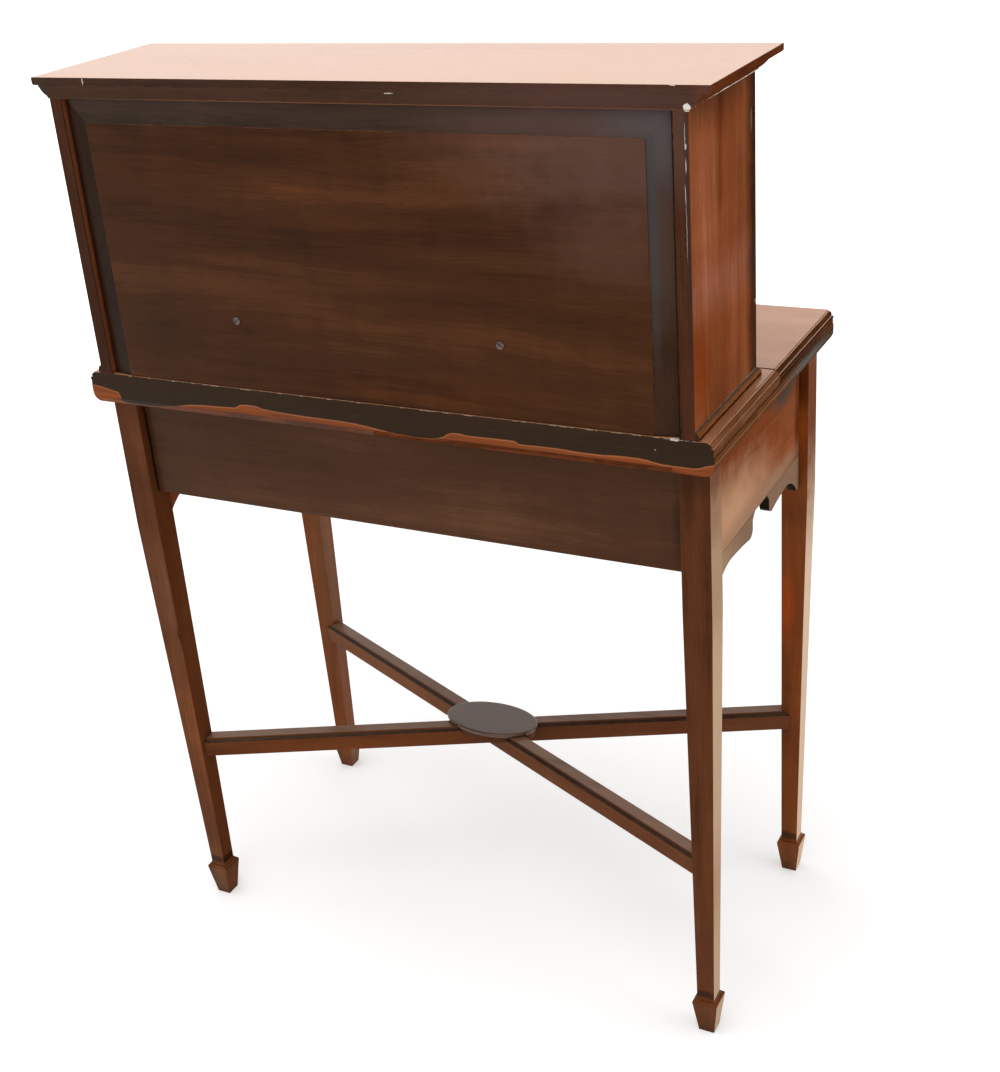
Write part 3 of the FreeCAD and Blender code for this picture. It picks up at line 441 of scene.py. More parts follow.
@dataclass(frozen=True)
class Face:
    """A flat face of the desk, where marks are placed by the two axes that lie in it."""

    axis: int
    at: float
    deep: float = 0.1

    def lay(self, spot: Point, size: Point, deep: float, tone: Colour, amount: float, blend: Blend,
            softness: float) -> Patch:
        """Lay a patch on the face.

        Args:
            spot: its middle on the face.
            size: how far it spreads on the face.
            deep: how far it reaches through the face.
            tone: its colour.
            amount: how strong it is.
            blend: how it changes the wood.
            softness: 1 for a soft edge, near 0 for a torn one.

        Returns:
            The patch.
        """
        middle, spread = list(spot), list(size)
        middle.insert(self.axis, self.at)
        spread.insert(self.axis, deep)
        return Patch(tuple(middle), tuple(spread), tone, amount, blend, softness)

    def stain(self, u: float, v: float, wide: float, tall: float, tone: Colour, amount: float = 0.8,
              deep: float = 0.0) -> Patch:
        """A tone that the wood's own is multiplied by."""
        return self.lay((u, v), (wide, tall), deep or self.deep, tone, amount, Blend.STAIN, 1.0)

    def film(self, u: float, v: float, wide: float, tall: float, tone: Colour, amount: float = 0.8,
             softness: float = 1.0) -> Patch:
        """A tone that lies over the wood as haze, wax or light does."""
        return self.lay((u, v), (wide, tall), self.deep, tone, amount, Blend.FILM, softness)

    def streak(self, u: float, v: float, wide: float, tall: float, tone: Colour, amount: float = 0.9,
               softness: float = 0.2, deep: float = 0.02) -> Patch:
        """A thin crisp mark: a chip, a crack, a rubbed line, a dark joint, a painted highlight or a painted
        shadow line.
        """
        return self.lay((u, v), (wide, tall), deep, tone, amount, Blend.FILM, softness)


@dataclass(frozen=True)
class Tones:
    """The three tones of a wood's figure."""

    dark: Colour
    body: Colour
    light: Colour


def shade(colour: Colour, share: float) -> Colour:
    """A colour made darker."""
    return tuple(part * share for part in colour)


@dataclass(frozen=True)
class Timber(Finish):
    """Solid wood under polish, wax or nothing."""

    grain: Grain
    tones: Tones
    contrast: float = 1.0
    gloss: float = 0.27
    spread: float = 0.12
    coat: float = 0.0
    specular: float = 0.2
    glow: Colour = (1.0, 0.64, 0.42)
    # colour of the rubbed arrises; on some finishes it also stands for painted highlights along them
    worn_and_glint: Colour = (0.26, 0.11, 0.05)
    wear: float = 0.55
    wear_radius: float = 0.0013
    # how strongly the corners darken: soiling and painted shade
    grime_and_shade: float = 0.55
    pores: float = 0.45
    bump: float = 0.25
    crisp: float = 0.5
    glare_from: float = 0.50
    glare_full: float = 0.67
    patches: tuple[Patch, ...] = ()
    glare: tuple[Patch, ...] = ()

    def laid(self, graph: Graph, plain: Value) -> Value:
        """Where the wood is read, with X along the fibres and each board from a part of the log of its own.

        Args:
            graph: the material's graph.
            plain: the object coordinates.

        Returns:
            The coordinates in the log.
        """
        board = graph.out("ShaderNodeAttribute", pick="Fac", attribute_name="board")
        far = graph.out("ShaderNodeVectorMath", {0: (3.7, 5.3, 7.9), "Scale": board}, operation="SCALE")
        turn = tuple(math.radians(angle) for angle in self.grain.value)
        return graph.out("ShaderNodeMapping", {"Vector": graph.vector("ADD", plain, far), "Rotation": turn})

    def tint(self, graph: Graph, plain: Value, colour: Value) -> Value:
        """Hook for what a kind of board adds to the wood's colour."""
        return colour

    @staticmethod
    def mottle(graph: Graph, colour: Value, patches: Iterable[Patch], share: object = 1.0) -> Value:
        """Lay patches over the wood.

        Args:
            graph: the material's graph.
            colour: the wood's colour.
            patches: the patches, in the order they are laid.
            share: how much of each patch shows.

        Returns:
            The colour with the patches.
        """
        for patch in patches:
            over = graph.group(PATCH, {"Middle": patch.middle, "Spread": patch.spread,
                                       "Amount": patch.amount, "Softness": patch.softness})
            colour = graph.mix(over["Mask"] * share, colour, patch.tone, patch.blend.value)
        return colour

    def dress(self, graph: Graph, shader: bpy.types.Node) -> None:
        """Lay soft patches, wear and arris glints, grimy corners with painted shade, painted light and crisp
        marks over the wood, in that order.

        Args:
            graph: the material's graph.
            shader: its Principled shader.
        """
        plain = graph.place()
        laid = self.laid(graph, plain)
        wood = graph.group(FIGURE, {"Vector": laid, "Dark": self.tones.dark, "Body": self.tones.body,
                                    "Light": self.tones.light, "Contrast": self.contrast,
                                    "Pore Depth": self.pores})
        edge = graph.group(WEAR, {"Radius": self.wear_radius, "Amount": self.wear})
        grime_shade = graph.group(GRIME_AND_SHADE, {"Amount": self.grime_and_shade})
        sheen = graph.group(POLISH, {"Vector": laid, "Gloss": self.gloss, "Spread": self.spread})
        colour = self.mottle(graph, wood["Color"],
                             (patch for patch in self.patches if patch.softness >= self.crisp))
        colour = graph.mix(edge["Mask"], colour, self.worn_and_glint)
        # corners darkened by occlusion: settled soiling and painted shade
        colour = graph.mix(grime_shade["Mask"], colour, shade(self.tones.dark, 0.25))
        if self.glare:
            away = graph.out("ShaderNodeLayerWeight", {"Blend": 0.5}, "Facing")
            share = graph.rise(away, self.glare_from, self.glare_full)
            colour = self.mottle(graph, colour, self.glare, share)
        colour = self.mottle(graph, colour, (patch for patch in self.patches if patch.softness < self.crisp))
        height = sheen["Height"] * 0.35 - wood["Pores"] * 0.5
        graph.wire(shader, {
            "Base Color": self.tint(graph, plain, colour), "Roughness": sheen["Roughness"],
            "Coat Weight": self.coat, "Coat Roughness": 0.12, "Specular IOR Level": self.specular,
            "Specular Tint": self.glow, "Normal": graph.bump(height, self.bump, 0.0006, edge["Normal"])})


@dataclass(frozen=True)
class StainedEdge(Timber):
    """The desk top's boards: dark stain on the back edge, bare wood below a wandering line."""

    bare: Colour = (0.305, 0.075, 0.021)
    faded: Colour = (0.066, 0.027, 0.014)
    lip_light: Colour = (0.42, 0.17, 0.075)
    dark_stain: Colour = (0.025, 0.0145, 0.0085)
    back: float = 0.2046
    half: float = 0.378
    low: float = 0.7265
    high: float = 0.7485
    line: tuple[Point, ...] = (
        (-0.378, 0.7412), (-0.368, 0.7385), (-0.353, 0.7351), (-0.330, 0.7353), (-0.307, 0.7382),
        (-0.292, 0.7389), (-0.249, 0.7373), (-0.206, 0.7385), (-0.172, 0.7380), (-0.166, 0.7409),
        (-0.139, 0.7408), (-0.116, 0.7403), (-0.102, 0.7415), (-0.086, 0.7368), (-0.060, 0.7322),
        (-0.032, 0.7327), (-0.008, 0.7350), (0.041, 0.7392), (0.092, 0.7398), (0.141, 0.7426),
        (0.154, 0.7447), (0.170, 0.7436), (0.178, 0.7398), (0.225, 0.7376), (0.254, 0.7340),
        (0.283, 0.7302), (0.312, 0.7296), (0.336, 0.7302), (0.340, 0.7415), (0.349, 0.7428),
        (0.366, 0.7460), (0.378, 0.7473))

    def stain_line(self, graph: Graph, x: Value) -> Value:
        """The line where the stain ends.

        Args:
            graph: the material's graph.
            x: the place along the edge.

        Returns:
            The line's height there, as a share of the way from low to high.
        """
        along = ((x + self.half) / (2 * self.half)).clamped()
        curve = graph.add("ShaderNodeFloatCurve", {"Value": along})
        points = curve.mapping.curves[0].points
        scaled = [((across + self.half) / (2 * self.half), (z - self.low) / (self.high - self.low))
                  for across, z in self.line]
        points[0].location, points[1].location = scaled[0], scaled[-1]
        for spot in scaled[1:-1]:
            points.new(*spot)
        for point in points:
            point.handle_type = "AUTO_CLAMPED"
        curve.mapping.update()
        return Value(graph, curve.outputs[0])

    def tint(self, graph: Graph, plain: Value, colour: Value) -> Value:
        """Lay the stain line over the wood on the back edge.

        Args:
            graph: the material's graph.
            plain: the object coordinates.
            colour: the wood's own colour.

        Returns:
            The colour with the stained and the bare wood.
        """
        parts = graph.outs(graph.add("ShaderNodeSeparateXYZ", {0: plain}))
        level = (parts["Z"] - self.low) / (self.high - self.low)
        ragged = graph.cloud(plain, 160.0, 3.0, 0.7) * 0.06
        over = level + ragged - self.stain_line(graph, parts["X"])
        lip = graph.rise(over, -0.05, -0.01) * (1.0 - graph.rise(over, 0.0, 0.03))
        fibres = graph.grain(plain, (6.0, 260.0, 260.0), 3.0, 0.6)
        bare = graph.mix(graph.rise(fibres, 0.35, 0.7), shade(self.bare, 0.7), self.bare)
        fade = graph.rise(graph.grain(plain, (5.0, 0.0, 40.0)), 0.50, 0.68)
        bare = graph.mix(fade * 0.75, bare, self.faded)
        bare = graph.mix(lip * 0.75, bare, self.lip_light)
        edge = graph.mix(graph.rise(over, 0.0, 0.06), bare, self.dark_stain)
        return graph.mix(graph.sum("GREATER_THAN", parts["Y"], self.back), colour, edge)


@dataclass(frozen=True)
class ChippedTimber(Timber):
    """Polished wood with pale chips inside a box round its worst arris."""

    low: Place = (-1.0, -1.0, -1.0)
    high: Place = (1.0, 1.0, 1.0)
    pale: Colour = (0.74, 0.62, 0.52)
    amount: float = 0.6
    scale: float = 160.0

    def tint(self, graph: Graph, plain: Value, colour: Value) -> Value:
        """Scatter the pale chips.

        Args:
            graph: the material's graph.
            plain: the object coordinates.
            colour: the wood's own colour.

        Returns:
            The colour with the chips.
        """
        parts = graph.outs(graph.add("ShaderNodeSeparateXYZ", {0: plain}))
        limit = 0.72 - 0.25 * self.amount
        chips = graph.rise(graph.cloud(plain, self.scale, 5.0, 0.75), limit, limit + 0.03)
        inside: object = 1.0
        for axis, low, high in zip("XYZ", self.low, self.high):
            for operation, end in (("GREATER_THAN", low), ("LESS_THAN", high)):
                inside = graph.sum("MULTIPLY", inside, graph.sum(operation, parts[axis], end))
        return graph.mix(chips * inside, colour, self.pale)


@dataclass(frozen=True)
class Leather(Finish):
    """A waxed leather writing skin."""

    name: str = "green writing leather"
    hide: Colour = (0.018, 0.05, 0.03)
    pale: Colour = (0.05, 0.10, 0.06)
    rubbed: Colour = (0.16, 0.15, 0.08)

    def dress(self, graph: Graph, shader: bpy.types.Node) -> None:
        """Pebble the hide, cloud its colour and rub its edges.

        Args:
            graph: the material's graph.
            shader: its Principled shader.
        """
        place = graph.place()
        cells = graph.rise(graph.out("ShaderNodeTexVoronoi", {"Vector": place, "Scale": 620.0},
                                     feature="DISTANCE_TO_EDGE"), 0.0, 0.12)
        clouds = graph.cloud(place, 12.0, 4.0, 0.6)
        edge = graph.group(WEAR, {"Radius": 0.0006, "Amount": 0.5})
        colour = graph.mix(graph.rise(clouds, 0.35, 0.72), self.hide, self.pale)
        colour = graph.mix((1.0 - cells) * 0.4, colour, shade(self.hide, 0.4))
        graph.wire(shader, {"Base Color": graph.mix(edge["Mask"], colour, self.rubbed),
                            "Roughness": 0.38 + clouds * 0.2,
                            "Normal": graph.bump(cells, 0.35, 0.0003, edge["Normal"])})


@dataclass(frozen=True)
class OldMetal(Finish):
    """Brass or steel with handling marks, and corners darkened by soiling and painted shade."""

    bright: Colour
    dull: Colour
    metallic: float = 1.0
    gloss: float = 0.3

    def dress(self, graph: Graph, shader: bpy.types.Node) -> None:
        """Cloud the metal, darken its corners with soiling and painted shade, and brighten its arrises.

        Args:
            graph: the material's graph.
            shader: its Principled shader.
        """
        place = graph.place()
        clouds = graph.cloud(place, 110.0, 4.0, 0.65)
        grime_shade = graph.group(GRIME_AND_SHADE, {"Reach": 0.004, "Amount": 0.85})
        edge = graph.group(WEAR, {"Radius": 0.0005, "Amount": 0.8})
        colour = graph.mix(graph.rise(clouds, 0.38, 0.66), self.bright, self.dull)
        # corners darkened by occlusion: settled soiling and painted shade
        colour = graph.mix(grime_shade["Mask"], colour, shade(self.dull, 0.18))
        fine = graph.cloud(place, 900.0, 2.0, 0.6)
        graph.wire(shader, {"Base Color": graph.mix(edge["Mask"], colour, self.bright),
                            "Metallic": self.metallic, "Roughness": self.gloss + clouds * 0.22,
                            "Normal": graph.bump(fine, 0.2, 0.0002, edge["Normal"])})


@dataclass(frozen=True)
class StudioPaper(Finish):
    """A pale floor that shows as white and keeps the desk's shadow."""

    name: str = "studio paper"
    paper: Colour = (0.85, 0.855, 0.86)
    lift: float = 0.31
    near: float = 0.9
    far: float = 4.0

    def dress(self, graph: Graph, shader: bpy.types.Node) -> Value:
        """Let the paper glow where it is seen, and the more the farther it is from the desk.

        Args:
            graph: the material's graph.
            shader: its Principled shader.

        Returns:
            The paper's surface.
        """
        graph.wire(shader, {"Base Color": self.paper, "Roughness": 0.9})
        paper = Value(graph, shader.outputs[0])
        away = graph.vector("LENGTH", graph.place(), pick="Value")
        strength = graph.rise(away, self.near, self.far) * (1.0 - self.lift) + self.lift
        glow = graph.out("ShaderNodeEmission", {"Color": WHITE, "Strength": strength})
        both = graph.out("ShaderNodeAddShader", {0: paper, 1: glow})
        return graph.out("ShaderNodeMixShader", {0: graph.seen_directly(), 1: paper, 2: both})


# colours of the wood: the back is stained almost black, the sides and legs are left warm
PANEL = Tones((0.029, 0.008, 0.0022), (0.050, 0.0155, 0.0045), (0.083, 0.027, 0.0085))
CORNICE = Tones((0.022, 0.0085, 0.005), (0.047, 0.0185, 0.0105), (0.084, 0.033, 0.018))
RAIL = Tones((0.038, 0.014, 0.0060), (0.062, 0.0235, 0.0110), (0.094, 0.038, 0.018))
LEG = Tones((0.063, 0.018, 0.0056), (0.112, 0.033, 0.0110), (0.164, 0.052, 0.019))
SIDE = Tones((0.140, 0.034, 0.009), (0.232, 0.062, 0.020), (0.315, 0.094, 0.035))
END = Tones((0.045, 0.015, 0.006), (0.150, 0.052, 0.018), (0.290, 0.125, 0.058))
TOP = Tones((0.320, 0.140, 0.066), (0.430, 0.200, 0.101), (0.510, 0.255, 0.137))
LINING = Tones((0.30, 0.17, 0.08), (0.43, 0.27, 0.14), (0.54, 0.36, 0.20))
BARE = Tones((0.36, 0.22, 0.11), (0.50, 0.33, 0.18), (0.60, 0.43, 0.26))
# near-black for dark joints and for the painted shadow in the gaps between parts
JOINT_SHADE: Colour = (0.004, 0.0025, 0.002)
CHIP: Colour = (0.80, 0.74, 0.68)

# the faces that marks lie on: those that look back, those of the left side, and the arms' top
FIELD = Face(1, 0.2034)
BEVEL = Face(1, 0.2)
CASE_BACK = Face(1, 0.205)
RAIL_BACK = Face(1, 0.1755)
LEG_BACK = Face(1, 0.186, 0.05)
FRONT_LEG_BACK = Face(1, -0.144, 0.05)
CASE_SIDE = Face(0, -0.359)
CASE_SKIN = Face(0, -0.3592)
RAIL_SIDE = Face(0, -0.356)
BRACKET_SIDE = Face(0, -0.36, 0.2)
FOOT_SIDE = Face(0, -0.36)
LEG_SIDE = Face(0, -0.3665)
TOP_EDGE = Face(0, -0.38)
ARM_TOP = Face(2, 0.24)


def streak(middle: Place, spread: Place, tone: Colour, amount: float = 0.9, softness: float = 0.2) -> Patch:
    """A thin crisp mark that lies on no named face."""
    return Patch(middle, spread, tone, amount, Blend.FILM, softness)


def sheet(tone: Colour) -> Patch:
    """Light lying on a whole face that is seen nearly edge on."""
    return Patch((0.0, 0.0, 0.5), (50.0, 50.0, 50.0), tone, 1.0, Blend.FILM)


# marks that run over more than one finish
CORNER_CHIP = streak((-0.3582, 0.2050, 1.0758), (0.0048, 0.0090, 0.0056), CHIP, 1.0, 0.12)
ANKLE = Patch((0.0, 0.0, 0.0560), (2.0, 2.0, 0.0085), (0.32, 0.36, 0.42), 0.95, Blend.STAIN, 0.5)
SOLE = Patch((0.0, 0.0, 0.006), (2.0, 2.0, 0.028), (0.70, 0.75, 0.72), 0.8)
SMEAR = Patch((0.334, 0.178, 0.410), (0.006, 0.03, 0.020), (0.16, 0.13, 0.12), 0.95, Blend.STAIN, 0.5)

BACK_PANEL = Timber("stained panel, figure across", Grain.ACROSS, PANEL, contrast=1.6, gloss=0.3,
    specular=0.12, patches=(
    FIELD.film(-0.3, 1.05, 0.26, 0.095, (0.13, 0.072, 0.055), 0.55),
    FIELD.stain(-0.25, 0.97, 0.14, 0.07, (1.35, 1.45, 1.7)),
    FIELD.stain(0.16, 1.015, 0.22, 0.045, (1.12, 1.02, 0.9)),
    FIELD.stain(0.07, 0.985, 0.035, 0.01, (1.35, 1.25, 1.1)),
    FIELD.stain(0.02, 0.925, 0.2, 0.022, (0.8, 0.8, 0.82)),
    FIELD.stain(0.12, 0.8, 0.24, 0.04, (0.78, 0.8, 0.8), 0.7),
    FIELD.stain(-0.05, 0.772, 0.16, 0.012, (1.35, 1.25, 0.95)),
    FIELD.stain(-0.07, 0.786, 0.2, 0.024, (1.5, 1.36, 1.08)),
    FIELD.stain(0.26, 0.84, 0.08, 0.1, (0.72, 0.78, 0.88)),
    FIELD.film(-0.28, 0.945, 0.1, 0.055, (0.115, 0.05, 0.033), 0.5),
    FIELD.stain(-0.01, 0.95, 0.11, 0.02, (1.26, 1.14, 0.92), 0.7),
    FIELD.stain(-0.12, 1.042, 0.15, 0.018, (1.3, 1.22, 1.3)),
    FIELD.stain(0.08, 0.89, 0.12, 0.034, (0.84, 0.86, 0.94), 0.7)))
BACK_BEVEL = Timber("stained bevel, figure across", Grain.ACROSS,
    Tones((0.016, 0.008, 0.005), (0.038, 0.02, 0.0135), (0.06, 0.032, 0.022)), specular=0.15,
    contrast=1.4, coat=0.06, patches=(
    BEVEL.film(-0.25, 1.066, 0.2, 0.04, (0.086, 0.047, 0.042), 0.85),
    BEVEL.film(-0.325, 1.066, 0.07, 0.04, (0.078, 0.07, 0.072), 0.85),
    FIELD.streak(0.0, 1.0727, 0.7, 0.0016, JOINT_SHADE)))
BACK_BEVEL_UP = Timber("stained bevel, figure upright", Grain.UPRIGHT,
    Tones((0.014, 0.0065, 0.004), (0.028, 0.0125, 0.007), (0.046, 0.021, 0.012)), contrast=1.2,
    specular=0.075, patches=(
    BEVEL.film(-0.335, 1.045, 0.06, 0.08, (0.092, 0.078, 0.078), 0.9),
    BEVEL.film(-0.335, 0.95, 0.06, 0.1, (0.07, 0.04, 0.03), 0.9),
    BEVEL.film(-0.322, 0.97, 0.008, 0.16, (0.05, 0.055, 0.058), 0.7),
    BEVEL.stain(0.33, 0.9, 0.04, 0.3, (0.8, 0.8, 0.8)),
    FIELD.streak(-0.3434, 0.92, 0.0012, 0.6, JOINT_SHADE),
    FIELD.streak(-0.342, 1.03, 0.0009, 0.06, (0.2, 0.085, 0.05), 0.7),
    FIELD.streak(0.3434, 0.92, 0.0016, 0.6, JOINT_SHADE)))
CORNICE_ACROSS = Timber("stained cornice, figure across", Grain.ACROSS, CORNICE, specular=0.13, patches=(
    CASE_BACK.film(-0.26, 1.084, 0.22, 0.02, (0.082, 0.04, 0.032), 0.7),
    CASE_BACK.stain(0.02, 1.084, 0.09, 0.01, (0.72, 0.75, 0.72), 0.7),
    CASE_BACK.stain(0.3, 1.092, 0.05, 0.006, (1.2, 1.2, 1.1), 0.7),
    CASE_BACK.film(0.368, 1.086, 0.014, 0.02, (0.03, 0.027, 0.018), 0.7),
    CASE_BACK.streak(0.31, 1.0915, 0.0016, 0.006, CHIP, 0.6),
    CASE_BACK.streak(-0.345, 1.0946, 0.005, 0.0012, CHIP),
    CORNER_CHIP,
    CASE_BACK.film(-0.372, 1.088, 0.012, 0.014, (0.11, 0.036, 0.022)),
    CASE_BACK.streak(-0.06, 1.084, 0.008, 0.0009, CHIP, 0.6),
    CASE_BACK.streak(-0.05, 1.0736, 0.6, 0.0009, (0.2, 0.075, 0.035), 0.7)))
# arrises take a pale rubbed colour at full strength, as rubbed wood and painted highlights along them
CORNICE_DEEP = Timber("polished cornice end, figure deep", Grain.DEEP,
    Tones((0.07, 0.017, 0.006), (0.135, 0.036, 0.012), (0.21, 0.066, 0.024)), wear=1.0, specular=0.0,
    wear_radius=0.0018, worn_and_glint=(0.5, 0.27, 0.17), patches=(
    CORNER_CHIP, streak((-0.3595, 0.06, 1.0742), (0.02, 0.17, 0.0012), CHIP)))
RAIL_ACROSS = Timber("stained rail, figure across", Grain.ACROSS, RAIL, contrast=1.25, specular=0.13,
    patches=(
    RAIL_BACK.stain(-0.08, 0.628, 0.26, 0.03, (1.4, 1.4, 1.35)),
    RAIL_BACK.stain(0.2, 0.7, 0.1, 0.03, (0.9, 0.85, 0.8)),
    RAIL_BACK.stain(-0.33, 0.655, 0.01, 0.055, (0.45, 0.52, 0.52), 0.9),
    # dark joints at both legs; the right one is widened into the painted shadow beside the leg
    RAIL_BACK.streak(-0.334, 0.66, 0.0016, 0.14, JOINT_SHADE, 0.85, softness=0.4),
    RAIL_BACK.streak(0.3335, 0.66, 0.004, 0.14, JOINT_SHADE, softness=0.4)))
RAIL_DEEP = Timber("polished rail, figure deep", Grain.DEEP, SIDE, contrast=1.1, specular=0.0, patches=(
    RAIL_SIDE.stain(0.02, 0.724, 0.3, 0.014, (0.45, 0.5, 0.6), 0.9),
    RAIL_SIDE.stain(-0.135, 0.66, 0.012, 0.1, (0.35, 0.28, 0.22))), glare=(
    RAIL_SIDE.film(0.11, 0.635, 0.19, 0.065, (0.6, 0.335, 0.195), 0.88),
    RAIL_SIDE.film(-0.01, 0.612, 0.22, 0.02, (0.38, 0.22, 0.14)),
    RAIL_SIDE.film(-0.105, 0.676, 0.055, 0.022, (0.27, 0.09, 0.033), 0.6),
    RAIL_SIDE.film(-0.09, 0.704, 0.06, 0.022, (0.075, 0.062, 0.05), 0.9)))
BRACKET_FACE = Timber("bracket, figure deep", Grain.DEEP, SIDE, contrast=1.1, specular=0.0, glare=(
    BRACKET_SIDE.film(0.0, 0.6, 9.0, 9.0, (0.27, 0.172, 0.112), 0.9),
    BRACKET_SIDE.film(0.16, 0.58, 0.1, 0.1, (0.46, 0.3, 0.17), 0.9)))
LEG_UPRIGHT = Timber("polished leg, figure upright", Grain.UPRIGHT, LEG, contrast=1.6, specular=0.07,
    patches=(
    ANKLE, SOLE, SMEAR,
    LEG_BACK.stain(0.338, 0.2, 0.05, 0.25, (1.2, 1.15, 1.05)),
    LEG_BACK.stain(-0.352, 0.712, 0.05, 0.03, (0.62, 0.66, 0.72), 0.9),
    LEG_BACK.stain(-0.343, 0.69, 0.012, 0.05, (0.62, 0.66, 0.7), 0.9),
    LEG_BACK.stain(-0.361, 0.64, 0.01, 0.05, (0.78, 0.85, 0.9), 0.7),
    LEG_BACK.stain(-0.354, 0.25, 0.01, 0.09, (1.25, 1.2, 1.0)),
    LEG_BACK.stain(0.345, 0.48, 0.05, 0.1, (1.35, 1.6, 1.9), 0.9),
    LEG_BACK.stain(0.335, 0.27, 0.05, 0.14, (1.4, 1.45, 1.3), 0.9),
    LEG_BACK.stain(0.349, 0.62, 0.05, 0.03, (0.75, 0.75, 0.7), 0.9),
    LEG_BACK.stain(0.0, 0.02, 2.0, 0.09, (1.22, 1.2, 1.05), 0.9, deep=0.2),
    LEG_BACK.stain(0.35, 0.03, 0.05, 0.07, (1.22, 1.5, 1.6), 0.9)))
LEG_SUNNY = Timber("leg that catches the light, figure upright", Grain.UPRIGHT, LEG, specular=0.0,
    patches=(ANKLE,), glare=(
    sheet((0.58, 0.39, 0.26)),
    LEG_SIDE.stain(0.17, 0.722, 0.1, 0.045, (0.42, 0.27, 0.22), 1.0),
    LEG_SIDE.stain(0.17, 0.68, 0.1, 0.05, (0.6, 0.48, 0.42), 0.85),
    LEG_SIDE.stain(0.17, 0.6, 0.1, 0.1, (0.7, 0.68, 0.64)),
    LEG_SIDE.stain(0.19, 0.21, 0.1, 0.09, (0.84, 0.74, 0.69), 0.9)))
LEG_SHADE = Timber("shaded leg side, figure upright", Grain.UPRIGHT, LEG, specular=0.0, contrast=1.2,
    patches=(ANKLE,), glare=(sheet((0.27, 0.13, 0.073)), SMEAR))
LEG_WARM = Timber("warm leg, figure upright", Grain.UPRIGHT,
    Tones((0.12, 0.03, 0.008), (0.205, 0.05, 0.0105), (0.29, 0.08, 0.019)), contrast=1.3, specular=0.1,
    patches=(
    ANKLE, SOLE,
    FRONT_LEG_BACK.stain(-0.352, 0.69, 0.05, 0.035, (0.55, 0.5, 0.5)),
    FRONT_LEG_BACK.stain(-0.347, 0.64, 0.03, 0.05, (2.0, 1.8, 1.4)),
    FRONT_LEG_BACK.stain(-0.347, 0.53, 0.03, 0.03, (0.75, 0.75, 0.7)),
    FRONT_LEG_BACK.stain(-0.342, 0.4, 0.012, 0.06, (1.75, 1.15, 0.5), 0.9),
    FRONT_LEG_BACK.stain(-0.35, 0.21, 0.03, 0.05, (0.75, 0.75, 0.8)),
    FRONT_LEG_BACK.stain(0.338, 0.35, 0.03, 0.3, (0.86, 1.3, 2.1), 0.85),
    FRONT_LEG_BACK.stain(0.0, 0.02, 2.0, 0.09, (1.05, 1.25, 1.5), 0.9, deep=0.2)))
LEG_GLOW = Timber("leg edge in full light, figure upright", Grain.UPRIGHT, LEG, specular=0.0,
    patches=(ANKLE,), glare=(
    sheet((0.78, 0.565, 0.405)),
    LEG_SIDE.stain(-0.16, 0.675, 0.1, 0.22, (0.25, 0.12, 0.078), 1.0)))
SIDE_UPRIGHT = Timber("polished side, figure upright", Grain.UPRIGHT, SIDE, contrast=1.5, specular=0.0,
    patches=(
    CASE_SIDE.stain(0.12, 1.074, 0.2, 0.03, (0.58, 0.66, 0.76), 0.95),
    CASE_SIDE.stain(0.16, 0.99, 0.065, 0.11, (1.42, 1.6, 2.1), 0.85),
    CASE_SIDE.stain(0.12, 0.897, 0.16, 0.038, (1.18, 1.42, 2.2), 0.85),
    CASE_SIDE.stain(0.19, 0.828, 0.04, 0.07, (0.84, 0.58, 0.32), 0.9),
    CASE_SIDE.stain(0.1, 0.815, 0.15, 0.055, (0.84, 0.8, 0.76)),
    CASE_SIDE.stain(0.055, 0.96, 0.035, 0.14, (0.78, 0.86, 0.95)),
    CASE_SIDE.stain(0.11, 0.785, 0.09, 0.03, (0.82, 0.86, 0.9)),
    CASE_SIDE.stain(0.02, 0.92, 0.035, 0.8, (0.22, 0.33, 0.48), 1.0),
    CORNER_CHIP,
    CASE_SKIN.streak(0.034, 1.03, 0.003, 0.016, (0.3, 0.28, 0.25), 0.35, softness=0.5),
    CASE_SKIN.streak(0.024, 0.845, 0.004, 0.004, (0.45, 0.28, 0.16), 0.8)))
CASE_UPRIGHT = Timber("polished case wood, figure upright", Grain.UPRIGHT, SIDE)
CASE_ACROSS = Timber("polished case wood, figure across", Grain.ACROSS, SIDE)
FRONT_ACROSS = Timber("polished front, figure across", Grain.ACROSS, SIDE, contrast=1.3, coat=0.4)
FRONT_UPRIGHT = Timber("polished front, figure upright", Grain.UPRIGHT, SIDE, contrast=1.3, coat=0.4)
# pale for the painted glare of the overhead light on the polish, with its haze
TOP_ACROSS = Timber("faded top, figure across", Grain.ACROSS, TOP, gloss=0.22, coat=0.3,
    worn_and_glint=(0.2, 0.08, 0.04), patches=(
    Patch((-0.374, 0.135, 0.763), (0.02, 0.15, 0.1), (0.3, 0.115, 0.045), 0.75, Blend.FILM),
    streak((-0.366, 0.0, 0.7633), (0.012, 0.0012, 0.01), (0.05, 0.02, 0.01)),
    streak((-0.338, 0.2035, 0.763), (0.008, 0.0022, 0.002), CHIP, 0.8)))
# arrises take the pale rubbed colour at full strength, as rubbed wood and painted highlights; the near-black
# lines are painted shadow in the gaps above and below the bed, and the pale line a painted highlight on the
# bed's arris
EDGE_DEEP = Timber("moulded edge, figure deep", Grain.DEEP, END, wear=1.0, worn_and_glint=(0.46, 0.26, 0.15),
    specular=0.0, contrast=1.5, patches=(
    TOP_EDGE.film(-0.1, 0.74, 0.115, 0.01, (0.105, 0.112, 0.102)),
    TOP_EDGE.streak(0.1, 0.7475, 0.6, 0.0012, JOINT_SHADE, 0.8, deep=0.1),
    TOP_EDGE.streak(0.1, 0.733, 0.6, 0.0011, JOINT_SHADE, 0.8, deep=0.1),
    TOP_EDGE.streak(0.1, 0.74, 0.6, 0.0008, (0.42, 0.26, 0.16), 0.5, softness=0.4, deep=0.1)))
